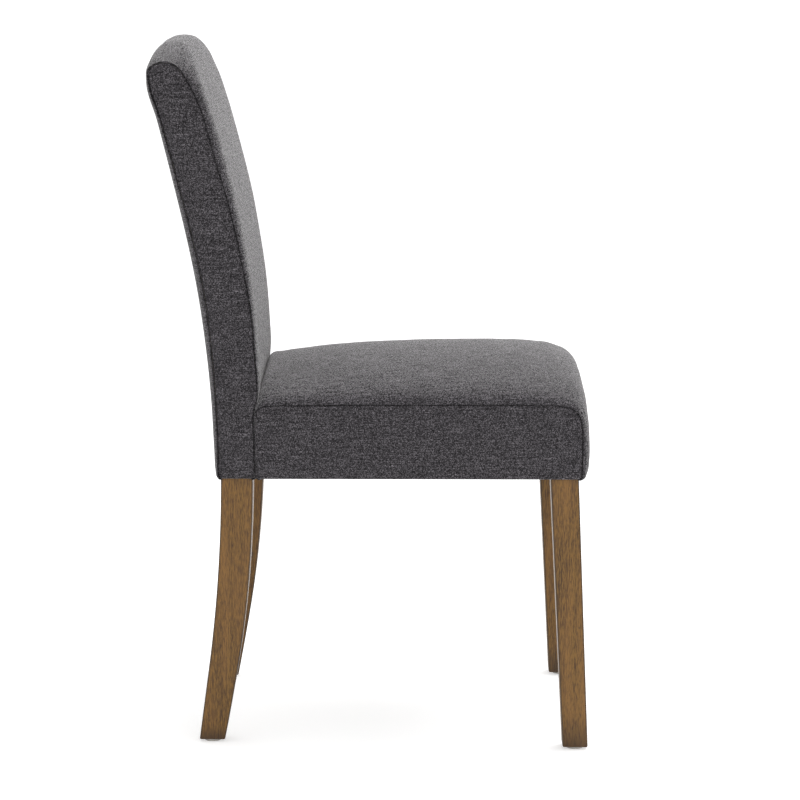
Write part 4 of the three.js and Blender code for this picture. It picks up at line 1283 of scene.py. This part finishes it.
class CHAIR_OT_pads(bpy.types.Operator):
    """Shapes the foam and wadding under the covers"""

    bl_idname = "chair.pads"
    bl_label = "Pads"

    def execute(self, context):
        for node, name, voxel, passes in pads:
            piece = node_copy(node, name)
            modify(piece, "REMESH", mode="VOXEL", voxel_size=voxel * mm, use_smooth_shade=True)
            modify(piece, "SMOOTH", factor=0.5, iterations=passes)
            pick(piece)
            bpy.ops.object.shade_smooth()
            finish_piece(piece, foam, node)
        return {"FINISHED"}


class CHAIR_OT_straps(bpy.types.Operator):
    """Weaves the straps under the seat and in the back"""

    bl_idname = "chair.straps"
    bl_label = "Straps"

    def execute(self, context):
        for stem, count, rests in straps:
            for node in (stem + str(number + 1) for number in range(count)):
                piece = node_copy(node, node + "_tape")
                bevel(piece, strap_edge, 2, 60)
                smooth(piece, 40)
                finish_piece(piece, webbing, node)
                low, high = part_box(node)
        return {"FINISHED"}


class CHAIR_OT_dust_cover(bpy.types.Operator):
    """Lays the dust cover under the seat, sagging a little between its staples"""

    bl_idname = "chair.dust_cover"
    bl_label = "Dust cover"

    def execute(self, context):
        node = "dust_cover"
        piece = node_copy(node, "dust_cover_cloth")
        low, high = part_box(node)
        area, ends = self.cut_net(piece.data, low, high)
        points = read_points(piece.data)
        nearest, _, _ = nearest_on(points[:, :2], ends[:, 0], ends[:, 1] - ends[:, 0])
        flat_uv(piece, points[:, :2])
        wave = ripple(points[:, :2] / dust_wave_size, 3.3) * dust_wave
        points[:, 2] -= dust_sag * faded(nearest, dust_sag_reach) + wave * faded(nearest, dust_wave_reach)
        piece.data.vertices.foreach_set("co", points.astype(np.float32).ravel())
        piece.data.update()
        modify(piece, "SOLIDIFY", thickness=dust_wall, offset=-1)
        smooth(piece, 50)
        finish_piece(piece, spun_cloth, node)
        return {"FINISHED"}

    def cut_net(self, data, low, high):
        """Keeps the lower face alone, cut into small squares. Its area, and the ends of its rim's edges."""
        mesh = bmesh.new()
        mesh.from_mesh(data)
        mesh.normal_update()
        down = seat_place.to_3x3() @ Vector((0, 0, -1))
        bmesh.ops.delete(mesh, geom=[f for f in mesh.faces if f.normal.dot(down) < facing], context="FACES")
        bmesh.ops.dissolve_limit(mesh, angle_limit=0.02, verts=mesh.verts, edges=mesh.edges)
        for axis in (0, 1):
            normal = Vector((axis == 0, axis == 1, 0))
            for place in np.arange(low[axis] + dust_step / 2, high[axis], dust_step):
                every = [*mesh.verts, *mesh.edges, *mesh.faces]
                bmesh.ops.bisect_plane(mesh, geom=every, dist=1e-7, plane_co=normal * place, plane_no=normal)
        mesh.to_mesh(data)
        ends = np.array([[v.co[:2] for v in e.verts] for e in mesh.edges if e.is_boundary])
        area = sum(face.calc_area() for face in mesh.faces)
        mesh.free()
        return area, ends


class CHAIR_OT_frame_finishes(bpy.types.Operator):
    """Gives the hidden frame and its fasteners their finishes"""

    bl_idname = "chair.frame_finishes"
    bl_label = "Frame and fasteners"

    def execute(self, context):
        for name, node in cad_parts.items():
            if "rail" in name or "block" in name:
                dress(node, sawn_wood)
            elif "bolt" in name or "washer" in name or "nut" in name:
                dress(node, zinc)
        return {"FINISHED"}


class CHAIR_OT_stage(bpy.types.Operator):
    """Sets the floor, the lamps, the world and the camera"""

    bl_idname = "chair.stage"
    bl_label = "Stage"

    def execute(self, context):
        settings = context.scene.chair_stage
        self.add_floor(settings)
        self.add_world(settings)
        self.add_lamp("key", Vector(key_place), key_size, settings.key)
        self.add_lamp("fill", Vector(fill_place), fill_size, settings.fill)
        self.add_camera()
        context.scene.view_settings.view_transform = "Standard"
        return {"FINISHED"}

    def add_floor(self, settings):
        alone()
        bpy.ops.mesh.primitive_plane_add(size=floor_size)
        floor = named_primitive("floor")
        finish = Finish("pale_floor")
        grain = finish.speckle(finish.object_place(), (50 / 3,) * 3)
        rough = 0.85 + (grain - 0.5) * 0.05
        paper = finish.principled(Base_Color=settings.floor, Roughness=rough, Specular_IOR_Level=0.1)
        glow = finish.node("Emission", {"Color": (1, 1, 1), "Strength": settings.glow})["Emission"]
        glowing = finish.node("AddShader", {0: paper, 1: glow})["Shader"]
        floor.data.materials.append(finish.output(finish.blend(finish.seen(), paper, glowing)))

    def add_world(self, settings):
        finish = Finish("soft_white", world=True)
        light, white = (
            finish.node("Background", {"Color": (1, 1, 1), "Strength": strength})["Background"]
            for strength in (settings.world, 1)
        )
        bpy.context.scene.world = finish.output(finish.blend(finish.seen(), light, white), "OutputWorld")

    def add_lamp(self, name, place, size, power):
        data = bpy.data.lights.new(name, "AREA")
        data.shape = "SQUARE"
        data.size = size
        data.energy = power
        lamp = linked(name, data)
        lamp.location = place
        lamp.rotation_mode = "QUATERNION"
        lamp.rotation_quaternion = (Vector(lamp_target) - place).to_track_quat("-Z", "Y")

    def add_camera(self):
        data = bpy.data.cameras.new("camera")
        data.sensor_width = camera_sensor
        data.lens = camera_lens
        data.clip_end = camera_reach
        forward = Vector((math.cos(camera_pitch), 0, -math.sin(camera_pitch)))
        right = Vector((0, -1, 0))
        turn = Matrix((right, right.cross(forward), -forward)).transposed() @ Matrix.Rotation(camera_roll, 3, "Z")
        camera = linked("camera", data)
        camera.matrix_world = Matrix.Translation(camera_place) @ turn.to_4x4()
        bpy.context.scene.camera = camera


class CHAIR_PT_panel(bpy.types.Panel):
    bl_label = "Parsons chair"
    bl_idname = "CHAIR_PT_panel"
    bl_space_type = "VIEW_3D"
    bl_region_type = "UI"
    bl_category = "Chair"

    def draw(self, context):
        layout = self.layout
        for operator in OPERATORS:
            layout.operator(operator.bl_idname, text=operator.bl_label)
        for name, _ in SETTINGS:
            settings = getattr(context.scene, name)
            box = layout.box()
            for key in settings.__annotations__:
                box.prop(settings, key)


OPERATORS = (
    CHAIR_OT_frame_finishes,
    CHAIR_OT_rear_legs,
    CHAIR_OT_front_legs,
    CHAIR_OT_glides,
    CHAIR_OT_pads,
    CHAIR_OT_straps,
    CHAIR_OT_dust_cover,
    CHAIR_OT_seat_cover,
    CHAIR_OT_back_cover,
    CHAIR_OT_stage,
)
SETTINGS = (
    ("chair_covers", ChairCoverSettings),
    ("chair_wood", ChairWoodSettings),
    ("chair_stage", ChairStageSettings),
)


def register():
    for name, group in SETTINGS:
        bpy.utils.register_class(group)
        setattr(bpy.types.Scene, name, bpy.props.PointerProperty(type=group))
    for kind in (*OPERATORS, CHAIR_PT_panel):
        bpy.utils.register_class(kind)


def unregister():
    for kind in (CHAIR_PT_panel, *reversed(OPERATORS)):
        bpy.utils.unregister_class(kind)
    for name, group in reversed(SETTINGS):
        delattr(bpy.types.Scene, name)
        bpy.utils.unregister_class(group)


def main():
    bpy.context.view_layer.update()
    register()
    for operator in OPERATORS:
        name = operator.bl_idname.split(".")[1]
        getattr(bpy.ops.chair, name)()


if __name__ == "__main__":
    main()
